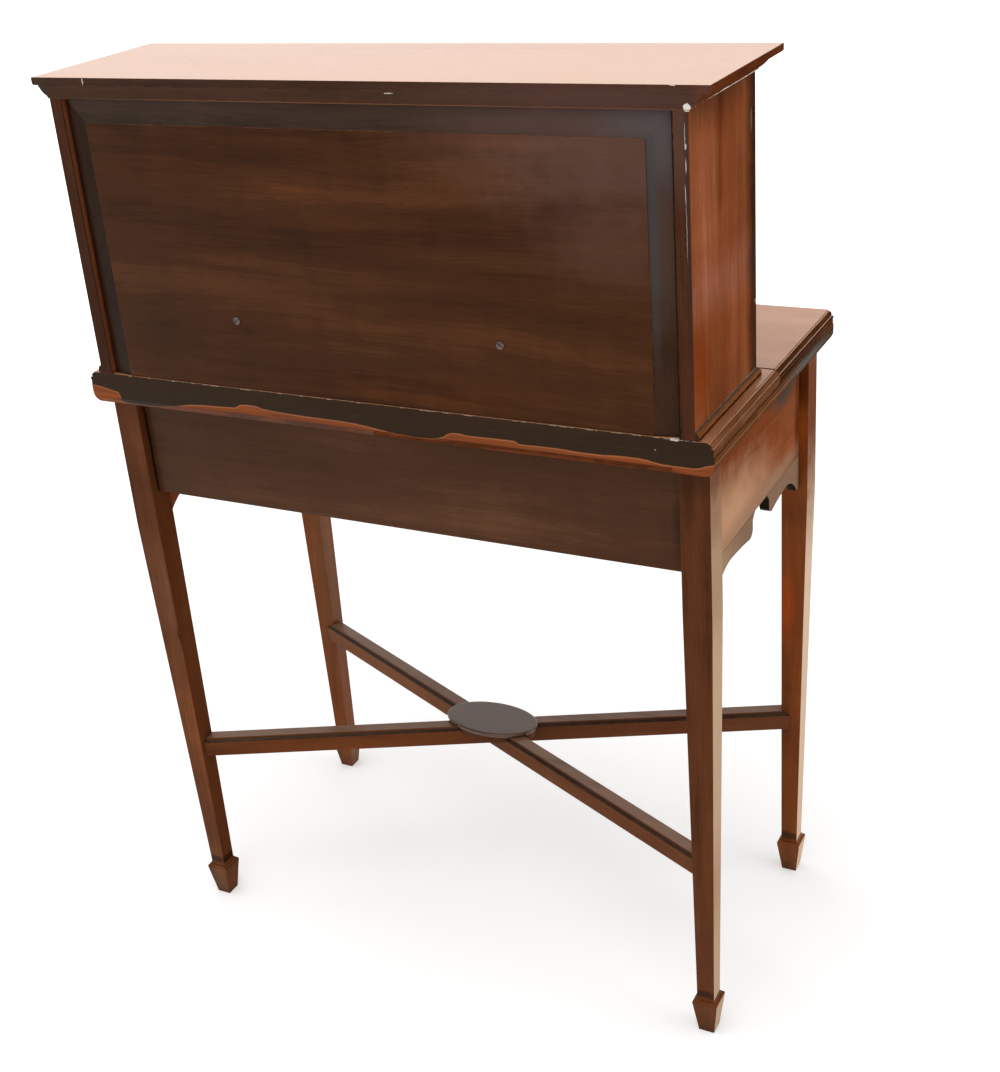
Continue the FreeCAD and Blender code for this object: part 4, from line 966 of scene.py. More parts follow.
# the near-black line at its foot is painted shadow where it sits on the desk top, and the pale line along its
# top a painted highlight
FOOT_DEEP = Timber("case foot moulding, figure deep", Grain.DEEP,
    Tones((0.13, 0.036, 0.01), (0.25, 0.08, 0.024), (0.36, 0.14, 0.05)), specular=0.0, contrast=1.3,
    wear=0.5, patches=(
    FOOT_SIDE.film(0.1, 0.7735, 0.6, 0.0058, (0.064, 0.05, 0.037), 0.85, softness=0.7),
    FOOT_SIDE.streak(0.1, 0.7655, 0.6, 0.0018, JOINT_SHADE, softness=0.4, deep=0.1),
    FOOT_SIDE.streak(0.1, 0.773, 0.6, 0.0007, (0.4, 0.3, 0.22), 0.6, softness=0.3, deep=0.1)))
ARM_FALLING = Timber("stretcher arm, figure falling", Grain.FALLING,
    Tones((0.085, 0.027, 0.01), (0.15, 0.051, 0.019), (0.21, 0.078, 0.031)), wear=0.8, specular=0.02,
    patches=(
    ARM_TOP.stain(0.22, -0.1, 0.26, 0.3, (1.35, 1.43, 1.4), 0.9),))
ARM_RISING = Timber("stretcher arm, figure rising", Grain.RISING, LEG, wear=0.8, specular=0.12, patches=(
    ARM_TOP.stain(0.2, 0.1, 0.3, 0.3, (1.32, 1.18, 0.9), 0.9),))
PLATFORM = Timber("platform, figure across", Grain.ACROSS,
    Tones((0.026, 0.01, 0.005), (0.06, 0.023, 0.01), (0.1, 0.04, 0.018)), coat=0.75, gloss=0.2)
PLATFORM_BLOCK = Timber("platform block, figure across", Grain.ACROSS, LEG, specular=0.1)
BED_EDGE = StainedEdge("desk bed, bare under its stain line", Grain.ACROSS, SIDE, wear=0.3, specular=0.1)
DARK_UPRIGHT = Timber("stained edge, figure upright", Grain.UPRIGHT,
    Tones((0.026, 0.008, 0.0035), (0.052, 0.016, 0.0068), (0.085, 0.029, 0.013)), contrast=1.3,
    specular=0.06, wear=0.2, patches=(
    CASE_BACK.film(-0.352, 1.045, 0.03, 0.07, (0.1, 0.05, 0.036)),
    CORNER_CHIP,
    CASE_BACK.film(-0.3575, 0.98, 0.0035, 0.2, (0.045, 0.024, 0.02)),
    CASE_BACK.streak(-0.3556, 1.052, 0.0006, 0.014, CHIP, 0.5, softness=0.5),
    CASE_BACK.streak(-0.3562, 1.042, 0.0012, 0.004, CHIP, 0.7, softness=0.4),
    CASE_BACK.streak(-0.356, 1.024, 0.0008, 0.011, CHIP, 0.6, softness=0.5),
    CASE_BACK.streak(-0.3552, 1.0, 0.0006, 0.014, CHIP, 0.6, softness=0.5),
    CASE_BACK.streak(-0.3557, 0.965, 0.0005, 0.04, CHIP, 0.4, softness=0.5),
    CASE_BACK.streak(-0.3438, 0.92, 0.0018, 0.6, JOINT_SHADE),
    CASE_BACK.streak(0.3438, 0.92, 0.0018, 0.6, JOINT_SHADE)))
BEVEL_ARRIS = Timber("rubbed arris of the bevel", Grain.ACROSS, LEG, wear=1.0, specular=0.1)
BOARD_BACK = ChippedTimber("stained edge, figure across", Grain.ACROSS,
    Tones((0.018, 0.01, 0.006), (0.028, 0.015, 0.0085), (0.038, 0.02, 0.011)), specular=0.09,
    low=(-0.38, 0.2042, 0.7624), high=(0.38, 0.206, 0.764), pale=(0.42, 0.33, 0.26), amount=0.75,
    scale=90.0, patches=(
    CASE_BACK.streak(-0.338, 0.7622, 0.007, 0.0018, CHIP, 0.8),
    CASE_BACK.streak(-0.318, 0.7495, 0.0012, 0.0009, CHIP, 0.55)))
# near black: dark stain, and painted shade on the sawn edges under the rails
SHADED_BRACKET_EDGE = Timber("stained bracket edge", Grain.DEEP,
    Tones((0.006, 0.004, 0.003), (0.012, 0.008, 0.006), (0.022, 0.014, 0.01)), wear=0.6, specular=0.03)
ARM_CROWN = Timber("rubbed stretcher crown", Grain.ACROSS,
    Tones((0.1, 0.045, 0.028), (0.2, 0.108, 0.068), (0.3, 0.172, 0.115)), gloss=0.2, coat=0.15)
ARM_GROOVE = Timber("waxed stretcher cove", Grain.ACROSS,
    Tones((0.012, 0.006, 0.004), (0.028, 0.013, 0.008), (0.06, 0.028, 0.018)), gloss=0.2)
# pale for the painted glare of the overhead light on the polish, with its haze
CORNICE_TOP = Timber("faded cornice top, figure across", Grain.ACROSS,
    Tones((0.55, 0.287, 0.17), (0.61, 0.334, 0.207), (0.67, 0.382, 0.248)), contrast=0.6, gloss=0.2,
    coat=0.3, worn_and_glint=(0.2, 0.08, 0.04))
DRAWER_WOOD = Timber("drawer lining wood, figure deep", Grain.DEEP, LINING, gloss=0.5, wear=0.2)
DRAWER_WOOD_ACROSS = Timber("drawer lining wood, figure across", Grain.ACROSS, LINING, gloss=0.5, wear=0.2)
BARE_DEEP = Timber("bare frame wood, figure deep", Grain.DEEP, BARE, gloss=0.6, wear=0.1)
LEATHER = Leather()
BRASS = OldMetal("old brass", (0.72, 0.47, 0.17), (0.36, 0.22, 0.08))
SCREW = OldMetal("rubbed screw steel", (0.13, 0.095, 0.075), (0.06, 0.042, 0.032), 0.6, 0.45)
GILT = OldMetal("rubbed gilt", (0.80, 0.55, 0.20), (0.45, 0.28, 0.09), 1.0, 0.35)
PAPER = StudioPaper()


# ------------------------------------------------------------------ mesh making
Rule = Callable[[bmesh.types.BMFace], int]
Solid = list[bmesh.types.BMVert]
HAIR = 1e-5


def board_number(name: str) -> float:
    """A steady number from a name, which picks the part of the log that a board is cut from."""
    return sum((place + 3) * ord(letter) for place, letter in enumerate(name)) % 89 / 9.0


def facing(face: bmesh.types.BMFace, axis: int, sign: float, over: float = 0.75) -> bool:
    """Whether a face looks along an axis (0, 1 or 2) by more than over, to the side that sign names."""
    return face.normal[axis] * sign > over


@dataclass(frozen=True)
class Box:
    """The lowest and highest corner of a solid."""

    low: Vector
    high: Vector

    @property
    def middle(self) -> Vector:
        """The box's centre."""
        return (self.low + self.high) / 2.0

    @property
    def size(self) -> Vector:
        """The box's three sides."""
        return self.high - self.low

    @classmethod
    def of(cls, verts: Iterable[bmesh.types.BMVert]) -> "Box":
        """Measure some vertices.

        Args:
            verts: the vertices.

        Returns:
            The box round them.
        """
        spots = [vert.co for vert in verts]
        return cls(Vector(min(spot[axis] for spot in spots) for axis in range(3)),
                   Vector(max(spot[axis] for spot in spots) for axis in range(3)))

    @classmethod
    def of_node(cls, node: str) -> "Box":
        """The box of one of the frame's nodes."""
        return cls(*(Vector(corner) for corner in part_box(node)))


class Blank:
    """A piece on the bench: one mesh that is worked, dressed and set down in its place."""

    WELD = 2e-6
    FLAT = math.radians(0.6)
    SHARP = math.cos(math.radians(34.0))
    BOARD_STEP = 1.37
    LEAST_AREA = 1e-12

    def __init__(self, name: str) -> None:
        """Start an empty mesh.

        Args:
            name: the finished piece's name.
        """
        self.name = name
        self.mesh = bmesh.new()
        self.mesh.verts.layers.float.new("board")
        self.limits: Optional[Box] = None

    @classmethod
    def copy_of(cls, name: str, node: str) -> "Blank":
        """Start from the frame's own solids, welded and with their flat faces made whole.

        Args:
            name: the finished piece's name.
            node: the frame's node.

        Returns:
            The blank.
        """
        blank = cls(name)
        work = blank.mesh
        work.from_mesh(frame["nodes"][node].data)
        blank.limits = Box.of(work.verts)
        bmesh.ops.remove_doubles(work, verts=work.verts, dist=cls.WELD)
        bmesh.ops.dissolve_limit(work, angle_limit=cls.FLAT, verts=work.verts, edges=work.edges)
        bmesh.ops.recalc_face_normals(work, faces=work.faces)
        return blank

    @classmethod
    def boxes_of(cls, node: str) -> list[Box]:
        """Measure a node's separate solids.

        Args:
            node: the frame's node.

        Returns:
            Their boxes.
        """
        blank = cls.copy_of("measure", node)
        boxes = [Box.of(solid) for solid in blank.islands()]
        blank.mesh.free()
        return boxes

    def islands(self) -> list[Solid]:
        """The separate solids in the mesh, from the lowest X on.

        Returns:
            Each solid's vertices.
        """
        seen, found = set(), []
        for first in self.mesh.verts:
            if first in seen:
                continue
            seen.add(first)
            solid = [first]
            for vert in solid:
                for edge in vert.link_edges:
                    other = edge.other_vert(vert)
                    if other not in seen:
                        seen.add(other)
                        solid.append(other)
            found.append(solid)
        return sorted(found, key=lambda solid: tuple(round(part, 4) for part in Box.of(solid).low))

    def drop(self, unwanted: Callable[[Box], bool]) -> list[Box]:
        """Take out the solids whose boxes a rule picks.

        Args:
            unwanted: the rule.

        Returns:
            The boxes of the solids that were taken out.
        """
        gone = [(solid, Box.of(solid)) for solid in self.islands()]
        gone = [(solid, box) for solid, box in gone if unwanted(box)]
        for solid, _ in gone:
            bmesh.ops.delete(self.mesh, geom=solid, context="VERTS")
        return [box for _, box in gone]

    def board(self, low: Sequence[float], high: Sequence[float]) -> None:
        """Add a square-edged board between its lowest and its highest corner."""
        for vert in bmesh.ops.create_cube(self.mesh, size=1.0)["verts"]:
            vert.co = Vector(a + (b - a) * (part + 0.5) for a, b, part in zip(low, high, vert.co))

    def tube(self, rings: Sequence[Solid]) -> None:
        """Join closed rings of vertices with faces, each ring to the next.

        Args:
            rings: the rings, with as many vertices each.
        """
        for near, far in zip(rings, rings[1:]):
            for place in range(len(near)):
                after = (place + 1) % len(near)
                self.mesh.faces.new((near[place], near[after], far[after], far[place]))

    def skin(self, rings: Sequence[Sequence[Vector]], capped: bool = True) -> list[Solid]:
        """Join closed rings of points with faces.

        Args:
            rings: rings with as many points each, in order along the piece.
            capped: close the first and the last ring.

        Returns:
            The rings' vertices.
        """
        made = [[self.mesh.verts.new(spot) for spot in ring] for ring in rings]
        self.tube(made)
        if capped:
            self.mesh.faces.new(list(reversed(made[0])))
            self.mesh.faces.new(made[-1])
        return made

    def turn(self, profile: Sequence[Point], base: Vector, axis: Vector, segments: int) -> None:
        """Turn a profile round an axis, closed at both ends by a pole.

        Args:
            profile: pairs of radius and distance along the axis, between the two poles.
            base: where the axis starts.
            axis: the axis, as a unit vector.
            segments: faces round the turning.
        """
        side = axis.orthogonal().normalized()
        other = axis.cross(side)
        angles = [step * math.tau / segments for step in range(segments)]
        made = self.skin([[base + axis * along + (side * math.cos(angle) + other * math.sin(angle)) * radius
                           for angle in angles] for radius, along in profile], capped=False)
        for ring, along, ahead in ((made[0], profile[0][1], False), (made[-1], profile[-1][1], True)):
            pole = self.mesh.verts.new(base + axis * along)
            for place in range(segments):
                pair = (ring[place], ring[(place + 1) % segments])
                self.mesh.faces.new((*pair, pole) if ahead else (*reversed(pair), pole))

    def ease(self, width: float, segments: int = 2, over: float = 30.0) -> None:
        """Round the arrises, as sanding and use do.

        Args:
            width: how far the rounding reaches on each side, in metres.
            segments: faces across the rounding.
            over: only edges that turn by more than this many degrees.
        """
        edges = [edge for edge in self.mesh.edges
                 if len(edge.link_faces) == 2 and edge.calc_face_angle(0.0) > math.radians(over)]
        if edges:
            bmesh.ops.bevel(self.mesh, geom=edges, offset=width, offset_type="OFFSET", segments=segments,
                            profile=0.6, affect="EDGES", clamp_overlap=True)

    def shading(self) -> list[Place]:
        """Normals for each face's corners, in which broad faces outweigh the narrow ones beside them.

        Returns:
            The normals, face by face.
        """
        areas = {face: max(face.calc_area(), self.LEAST_AREA) for face in self.mesh.faces}
        normals = []
        for face in self.mesh.faces:
            for vert in face.verts:
                total = Vector()
                for other in vert.link_faces:
                    if other.normal.dot(face.normal) > self.SHARP:
                        total += other.normal * areas[other]
                normals.append(tuple(total.normalized() if total.length > 0 else face.normal))
        return normals

    def number_boards(self) -> None:
        """Give each separate solid a part of the log of its own."""
        layer = self.mesh.verts.layers.float["board"]
        for order, solid in enumerate(self.islands()):
            for vert in solid:
                vert[layer] = board_number(self.name) + self.BOARD_STEP * order

    def set_down(self, finishes: Sequence[Finish], node: str = "", rule: Optional[Rule] = None,
                 body: str = "", slot: str = "") -> bpy.types.Object:
        """Finish the mesh and hand the piece to the frame.

        Args:
            finishes: the finishes that the rule chooses from.
            node: the frame's node that the piece stands for.
            rule: the number of each face's finish; every face takes the first without one.
            body: the body it rides on, or that of the node.
            slot: the record's material slot, or that of the node; not used.

        Returns:
            The finished object.
        """
        self.number_boards()
        if self.limits:
            for vert in self.mesh.verts:
                vert.co = Vector(min(max(part, low), high)
                                 for part, low, high in zip(vert.co, self.limits.low, self.limits.high))
        self.mesh.normal_update()
        for face in self.mesh.faces:
            face.smooth = True
            face.material_index = rule(face) if rule else 0
        normals = self.shading()
        data = bpy.data.meshes.new(self.name)
        self.mesh.to_mesh(data)
        self.mesh.free()
        data.normals_split_custom_set(normals)
        return install(data, finishes, node, body, slot)


def install(data: bpy.types.Mesh, finishes: Sequence[Finish], node: str, body: str,
            slot: str) -> bpy.types.Object:
    """Make a piece of a mesh, by its name, and hand it to the frame.

    Args:
        data: the mesh, in the frame's own coordinates.
        finishes: its finishes, in the order of its material numbers.
        node: the frame's node that it stands for, if any.
        body: the body it rides on, or that of the node.
        slot: the record's material slot, or that of the node; not used.

    Returns:
        The piece's object.
    """
    for finish in finishes:
        data.materials.append(finish.material())
    made = bpy.data.objects.new(data.name, data)
    bpy.context.scene.collection.objects.link(made)
    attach(made, body or BODY_OF[node])
    if node:
        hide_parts(node)
    slot or SLOT_OF[node]
    return made


# ------------------------------------------------------------------ what repeats
class Repeats:
    """A Geometry Nodes tree that sets one small shape at many places."""

    INPUTS = {"Places": "Geometry", "Pattern": "Object", "Finish": "Material", "Spacing": "Float",
              "Turn": "Float", "Size Change": "Float", "Seed": "Int"}

    def __init__(self, name: str, along_lines: bool) -> None:
        """Build the tree.

        Args:
            name: the tree's name.
            along_lines: the places are edges, which are walked at an even spacing and which the
                shapes follow. Otherwise each vertex is a place.
        """
        self.tree = bpy.data.node_groups.new(name, "GeometryNodeTree")
        self.tree.is_modifier = True
        face = self.tree.interface
        self.keys = {label: face.new_socket(name=label, in_out="INPUT",
                                            socket_type="NodeSocket" + kind).identifier
                     for label, kind in self.INPUTS.items()}
        face.new_socket(name="Made", in_out="OUTPUT", socket_type="NodeSocketGeometry")
        graph = Graph(self.tree)
        given = graph.outs(graph.add("NodeGroupInput"))
        places = given["Places"]
        away = graph.out("GeometryNodeInputNamedAttribute", {"Name": "facing"}, "Attribute",
                         data_type="FLOAT_VECTOR")
        turned = graph.out("FunctionNodeAlignRotationToVector", {"Vector": away}, axis="Z")
        if along_lines:
            line = graph.out("GeometryNodeMeshToCurve", {"Mesh": places})
            places = graph.out("GeometryNodeResampleCurve", {"Curve": line, "Length": given["Spacing"]},
                               mode="LENGTH")
            turned = graph.out("FunctionNodeAlignRotationToVector",
                               {"Rotation": turned, "Vector": graph.out("GeometryNodeInputTangent")},
                               axis="X", pivot_axis="Z")
        spin = self.chance(graph, given["Turn"] * -1.0, given["Turn"], given["Seed"])
        swing = graph.out("FunctionNodeEulerToRotation", {0: graph.out("ShaderNodeCombineXYZ", {"Z": spin})})
        turned = graph.out("FunctionNodeRotateRotation", {"Rotation": turned, "Rotate By": swing},
                           rotation_space="LOCAL")
        scale = self.chance(graph, 1.0 - given["Size Change"], 1.0, given["Seed"])
        shape = graph.out("GeometryNodeObjectInfo", {"Object": given["Pattern"]}, "Geometry")
        spread = graph.out("GeometryNodeInstanceOnPoints", {"Points": places, "Instance": shape,
                                                            "Rotation": turned, "Scale": scale})
        real = graph.out("GeometryNodeRealizeInstances", {0: spread})
        dressed = graph.out("GeometryNodeSetMaterial", {"Geometry": real, "Material": given["Finish"]})
        graph.add("NodeGroupOutput", {0: dressed})

    @staticmethod
    def chance(graph: Graph, low: object, high: object, seed: Value) -> Value:
        """Draw a number for each place.

        Args:
            graph: the tree's graph.
            low: the lowest number.
            high: the highest.
            seed: what the draws start from.

        Returns:
            The numbers.
        """
        node = graph.add("FunctionNodeRandomValue", {"Seed": seed}, data_type="FLOAT")
        ends = [place for place, entry in enumerate(node.inputs)
                if entry.enabled and entry.name in ("Min", "Max")]
        graph.wire(node, dict(zip(ends, (low, high))))
        return Value(graph, next(entry for entry in node.outputs if entry.enabled))

    def make(self, name: str, spots: Sequence[Vector], away: Sequence[Vector], pattern: Blank,
             finish: Finish, edges: Sequence[tuple[int, int]] = (), **settings: float) -> bpy.types.Mesh:
        """Set the pattern at every place.

        Args:
            name: the mesh's name.
            spots: the places.
            away: the way that each place looks.
            pattern: the small shape, with its foot at the origin and its head along +Z.
            finish: its finish.
            edges: pairs of places that lines join.
            **settings: the tree's other inputs, by name with a line for each space.

        Returns:
            A plain mesh.
        """
        base = bpy.data.meshes.new(name + " places")
        base.from_pydata([tuple(spot) for spot in spots], list(edges), [])
        layer = base.attributes.new("facing", "FLOAT_VECTOR", "POINT")
        layer.data.foreach_set("vector", [part for way in away for part in way])
        small = bpy.data.meshes.new(name + " pattern")
        for face in pattern.mesh.faces:
            face.smooth = False
        pattern.mesh.to_mesh(small)
        pattern.mesh.free()
        host, shape = (bpy.data.objects.new(data.name, data) for data in (base, small))
        for thing in (host, shape):
            bpy.context.scene.collection.objects.link(thing)
        modifier = host.modifiers.new("repeats", "NODES")
        modifier.node_group = self.tree
        settings.update(Pattern=shape, Finish=finish.material())
        for label, value in settings.items():
            modifier[self.keys[label.replace("_", " ")]] = value
        graph = bpy.context.evaluated_depsgraph_get()
        made = bpy.data.meshes.new_from_object(host.evaluated_get(graph), depsgraph=graph)
        for thing in (host, shape):
            bpy.data.objects.remove(thing)
        made.name = name
        made.materials.clear()
        return made


SCATTERED = Repeats("small parts at points", along_lines=False)
LINED_UP = Repeats("small parts along lines", along_lines=True)


def screw_pattern(radius: float, proud: float, sides: int = 14) -> Blank:
    """A slotted screw head, slightly domed.

    Args:
        radius: the head's radius.
        proud: how far it stands up.
        sides: faces round the head.

    Returns:
        The pattern.
    """
    crown, slit, reach, floor = 0.82, 0.16, 0.8, 0.45
    blank = Blank("screw")
    slot = radius * slit
    for sign in (1.0, -1.0):
        ring = [Vector((radius * math.cos(angle), max(slot, radius * math.sin(angle)) * sign, 0.0))
                for angle in (math.pi * step / (sides // 2) for step in range(sides // 2 + 1))]
        ring = ring if sign > 0 else list(reversed(ring))
        top = [Vector((spot.x * crown, max(slot, abs(spot.y) * crown) * sign, proud)) for spot in ring]
        blank.skin([ring, top])
    blank.board((-radius * reach, -slot, 0.0), (radius * reach, slot, proud * floor))
    return blank


def chip_pattern(outline: Sequence[Point], proud: float, crown: float = 1.0) -> Blank:
    """Cut a thin chip.

    Args:
        outline: its outline.
        proud: its height.
        crown: how wide its top is, as a share of its foot.

    Returns:
        The pattern.
    """
    blank = Blank("chip")
    ring = [Vector((x, y, 0.0)) for x, y in outline]
    blank.skin([ring, [spot * crown + Vector((0.0, 0.0, proud)) for spot in ring]])
    return blank


def dovetail_pattern(length: float, wide: float, narrow: float, proud: float) -> Blank:
    """One dovetail seen on a drawer side: a wedge along X, widest at the near end."""
    ends = ((0.0, -wide / 2), (length, -narrow / 2), (length, narrow / 2), (0.0, wide / 2))
    return chip_pattern(ends, proud)


def lozenge_pattern(length: float, width: float, proud: float) -> Blank:
    """One mark of the leather's tooled border: a low lozenge."""
    return chip_pattern(((length / 2, 0.0), (0.0, width / 2), (-length / 2, 0.0), (0.0, -width / 2)),
                        proud, 0.6)


# ------------------------------------------------------------------ turned and small work
@dataclass(frozen=True)
class Knob:
    """A turned brass knob on its rose, its profile in shares of its radius and length."""

    segments: int = 36
    shank: float = 0.25
    profile: tuple[Point, ...] = (
        (0.760, 0.000), (0.760, 0.070), (0.730, 0.110), (0.640, 0.140), (0.500, 0.165), (0.455, 0.220),
        (0.440, 0.290), (0.460, 0.360), (0.560, 0.425), (0.760, 0.475), (0.920, 0.530), (0.990, 0.590),
        (1.000, 0.640), (0.985, 0.700), (0.930, 0.770), (0.830, 0.835), (0.700, 0.885), (0.560, 0.925),
        (0.530, 0.915), (0.500, 0.930), (0.330, 0.975), (0.140, 0.996))

    def turn_on(self, blank: Blank, box: Box, face_y: float) -> None:
        """Turn the knob in the space of the frame's solid.

        Args:
            blank: what it is added to.
            box: the solid's box.
            face_y: where the front that carries it lies.
        """
        radius = box.size.x / 2.0
        full = [(share * radius, along * (face_y - box.low.y)) for share, along in self.profile]
        if box.high.y > face_y + HAIR:
            neck = radius * self.shank
            full = [(neck, face_y - box.high.y), (neck, -0.0001)] + full
        blank.turn(full, Vector((box.middle.x, face_y, box.middle.z)), Vector((0.0, -1.0, 0.0)),
                   self.segments)


@dataclass(frozen=True)
class Escutcheon:
    """A thin brass key plate with its keyhole."""

    width: float = 0.011
    height: float = 0.019
    thick: float = 0.0007
    wave: float = 0.07
    hole: float = 0.0019
    hole_up: float = 0.0018
    throat_below: float = -0.35
    throat: float = 0.55
    throat_drop: float = 2.0
    points: int = 28

    def cut(self, name: str, body: str, x: float, y: float, z: float) -> bpy.types.Object:
        """Cut one key plate.

        Args:
            name: the piece's name.
            body: the body it rides on.
            x: its middle.
            y: the front that carries it, which looks along -Y.
            z: its middle.

        Returns:
            The piece.
        """
        outer, inner = [], []
        for step in range(self.points):
            angle = step * math.tau / self.points
            across, up = math.cos(angle), math.sin(angle)
            swell = 1.0 + self.wave * math.cos(4.0 * angle)
            outer.append((across * self.width / 2 * swell, up * self.height / 2 * swell))
            round_part = up > self.throat_below
            reach, fall = (self.hole, 0.0) if round_part else (self.hole * self.throat,
                                                               self.hole * self.throat_drop)
            inner.append((across * reach, self.hole_up + up * reach - fall))
        blank = Blank(name)
        front = y - self.thick
        rings = [[blank.mesh.verts.new((x + across, level, z + up)) for across, up in ring]
                 for ring, level in ((outer, y), (outer, front), (inner, front), (inner, y))]
        blank.tube(rings + rings[:1])
        return blank.set_down((BRASS,), body=body, slot="turned_brass")


# ------------------------------------------------------------------ the desk's parts
@dataclass
class Assembly:
    """A group of pieces that one joiner would make together."""

    made: list[bpy.types.Object] = field(default_factory=list)
    knob_shown: float = 0.9

    def build(self) -> None:
        """Make every piece of the group."""
        raise NotImplementedError

    def piece(self, name: str, node: str, finishes: Sequence[Finish], width: float = 0.0,
              segments: int = 2, over: float = 30.0, rule: Optional[Rule] = None) -> None:
        """Make a piece from the frame's own solids, eased and dressed.

        Args:
            name: the piece's name.
            node: the node that it stands for.
            finishes: its finishes.
            width: how far its arrises are rounded, if at all.
            segments: faces across the rounding.
            over: only edges that turn by more than this many degrees are rounded.
            rule: the number of each face's finish.
        """
        blank = Blank.copy_of(name, node)
        if width:
            blank.ease(width, segments, over)
        self.made.append(blank.set_down(finishes, node, rule))

    def knobs(self, name: str, node: str, face_y: float) -> None:
        """Turn knobs in place of a node's plain ones.

        Args:
            name: the piece's name.
            node: the knobs' node.
            face_y: where the front that carries them lies.
        """
        blank = Blank.copy_of(name, node)
        for box in blank.drop(lambda box: True):
            Knob().turn_on(blank, box, max(face_y, box.low.y + box.size.y * self.knob_shown))
        self.made.append(blank.set_down((BRASS,), node))


@dataclass
class Legs(Assembly):
    """Four square tapered legs on spade feet."""

    arris: float = 0.0007

    def build(self) -> None:
        """Make the legs."""
        for place in ("front", "rear"):
            for side, _ in SIDES:
                self.piece(f"tapered_leg_{place}_{side}", f"leg_{place}_{side}",
                           (LEG_UPRIGHT, LEG_SUNNY, LEG_WARM, LEG_GLOW, LEG_SHADE), self.arris, 3,
                           rule=lambda face, place=place, side=side: self.finish_of(face, place, side))

    @staticmethod
    def finish_of(face: bmesh.types.BMFace, place: str, side: str) -> int:
        """Choose a leg's finish: the faces that look left have their own, which carry painted light and shade
        on three of the legs.

        Args:
            face: a face of the leg.
            place: front or rear.
            side: left or right.

        Returns:
            The finish's number.
        """
        if facing(face, 0, -1.0):
            return {"rear_left": 1, "front_left": 3, "rear_right": 4}.get(f"{place}_{side}", 2)
        return 2 if place == "front" else 0


@dataclass
class Frame(Assembly):
    """The rails, the blade and the ogee brackets that tie the legs."""

    arris: float = 0.0006
    bracket_arris: float = 0.0009
    side_brackets_from: float = 0.334

    def build(self) -> None:
        """Make the frame."""
        self.piece("stained_back_rail", "back_rail", (RAIL_ACROSS,), self.arris)
        self.piece("drawer_blade_board", "drawer_blade", (FRONT_ACROSS,), self.arris)
        for side, _ in SIDES:
            self.piece(f"veneered_side_rail_{side}", f"side_rail_{side}", (RAIL_DEEP,), self.arris)
            self.piece(f"sawn_brackets_{side}", f"ogee_brackets_{side}",
                       (BRACKET_FACE, SHADED_BRACKET_EDGE, FRONT_ACROSS), self.bracket_arris, 3,
                       rule=self.bracket_rule)
        self.piece("frieze_stile_pair", "frieze_stiles", (FRONT_UPRIGHT,), self.arris)

    def bracket_rule(self, face: bmesh.types.BMFace) -> int:
        """0 on the side brackets' faces, 2 on the front ones' and 1 on the sawn edges, which are near black
        with stain and painted shade.

        Args:
            face: a face of the piece.

        Returns:
            The finish's number.
        """
        if abs(face.calc_center_median().x) > self.side_brackets_from:
            return int(abs(face.normal.x) < 0.6)
        return 2 if abs(face.normal.y) > 0.6 else 1


@dataclass
class Stretcher(Assembly):
    """The crossed stretcher and the oval platform where its arms meet."""

    arris: float = 0.0004
    block_arris: float = 0.0005
    crown_depth: float = 0.0004
    disc_points: int = 96

    def build(self) -> None:
        """Make the arms, the block and the platform."""
        for place in ("front", "rear"):
            for side, _ in SIDES:
                rising = (place, side) in (("rear", "right"), ("front", "left"))
                self.piece(f"moulded_stretcher_{place}_{side}", f"stretcher_{place}_{side}",
                           (ARM_RISING if rising else ARM_FALLING, ARM_CROWN, ARM_GROOVE), self.arris,
                           rule=self.finish_of)
        self.piece("platform_block_solid", "platform_block", (PLATFORM_BLOCK,), self.block_arris)
        self.made.append(self.platform())

    def finish_of(self, face: bmesh.types.BMFace) -> int:
        """1 on the crown, which is rubbed pale, 2 on the dark coves beside it and 0 on the sides.

        Args:
            face: a face of the piece.

        Returns:
            The finish's number.
        """
        crown = Box.of_node("stretcher_rear_left").high.z - self.crown_depth
        if face.normal.z > 0.9 and face.calc_center_median().z > crown:
            return 1
        return 2 if face.normal.z > 0.25 else 0

    def platform(self) -> bpy.types.Object:
        """Turn the oval platform with a rounded rim.

        Returns:
            The platform.
        """
        box = Box.of_node("platform_top")
        half, top = box.size / 2.0, box.size.z
        profile = ((0.0022, 0.0), (0.0010, 0.0009), (0.0003, 0.0019), (0.0, 0.0032), (0.0002, top - 0.0014),
                   (0.0007, top - 0.0006), (0.0014, top - 0.0001), (0.0024, top), (0.0100, top))
        angles = [step * math.tau / self.disc_points for step in range(self.disc_points)]
        blank = Blank("oval_platform")
        blank.skin([[Vector((box.middle.x + (half.x - inset) * math.cos(angle),
                             box.middle.y + (half.y - inset) * math.sin(angle), box.low.z + rise))
                     for angle in angles] for inset, rise in profile])
        return blank.set_down((PLATFORM,), "platform_top")


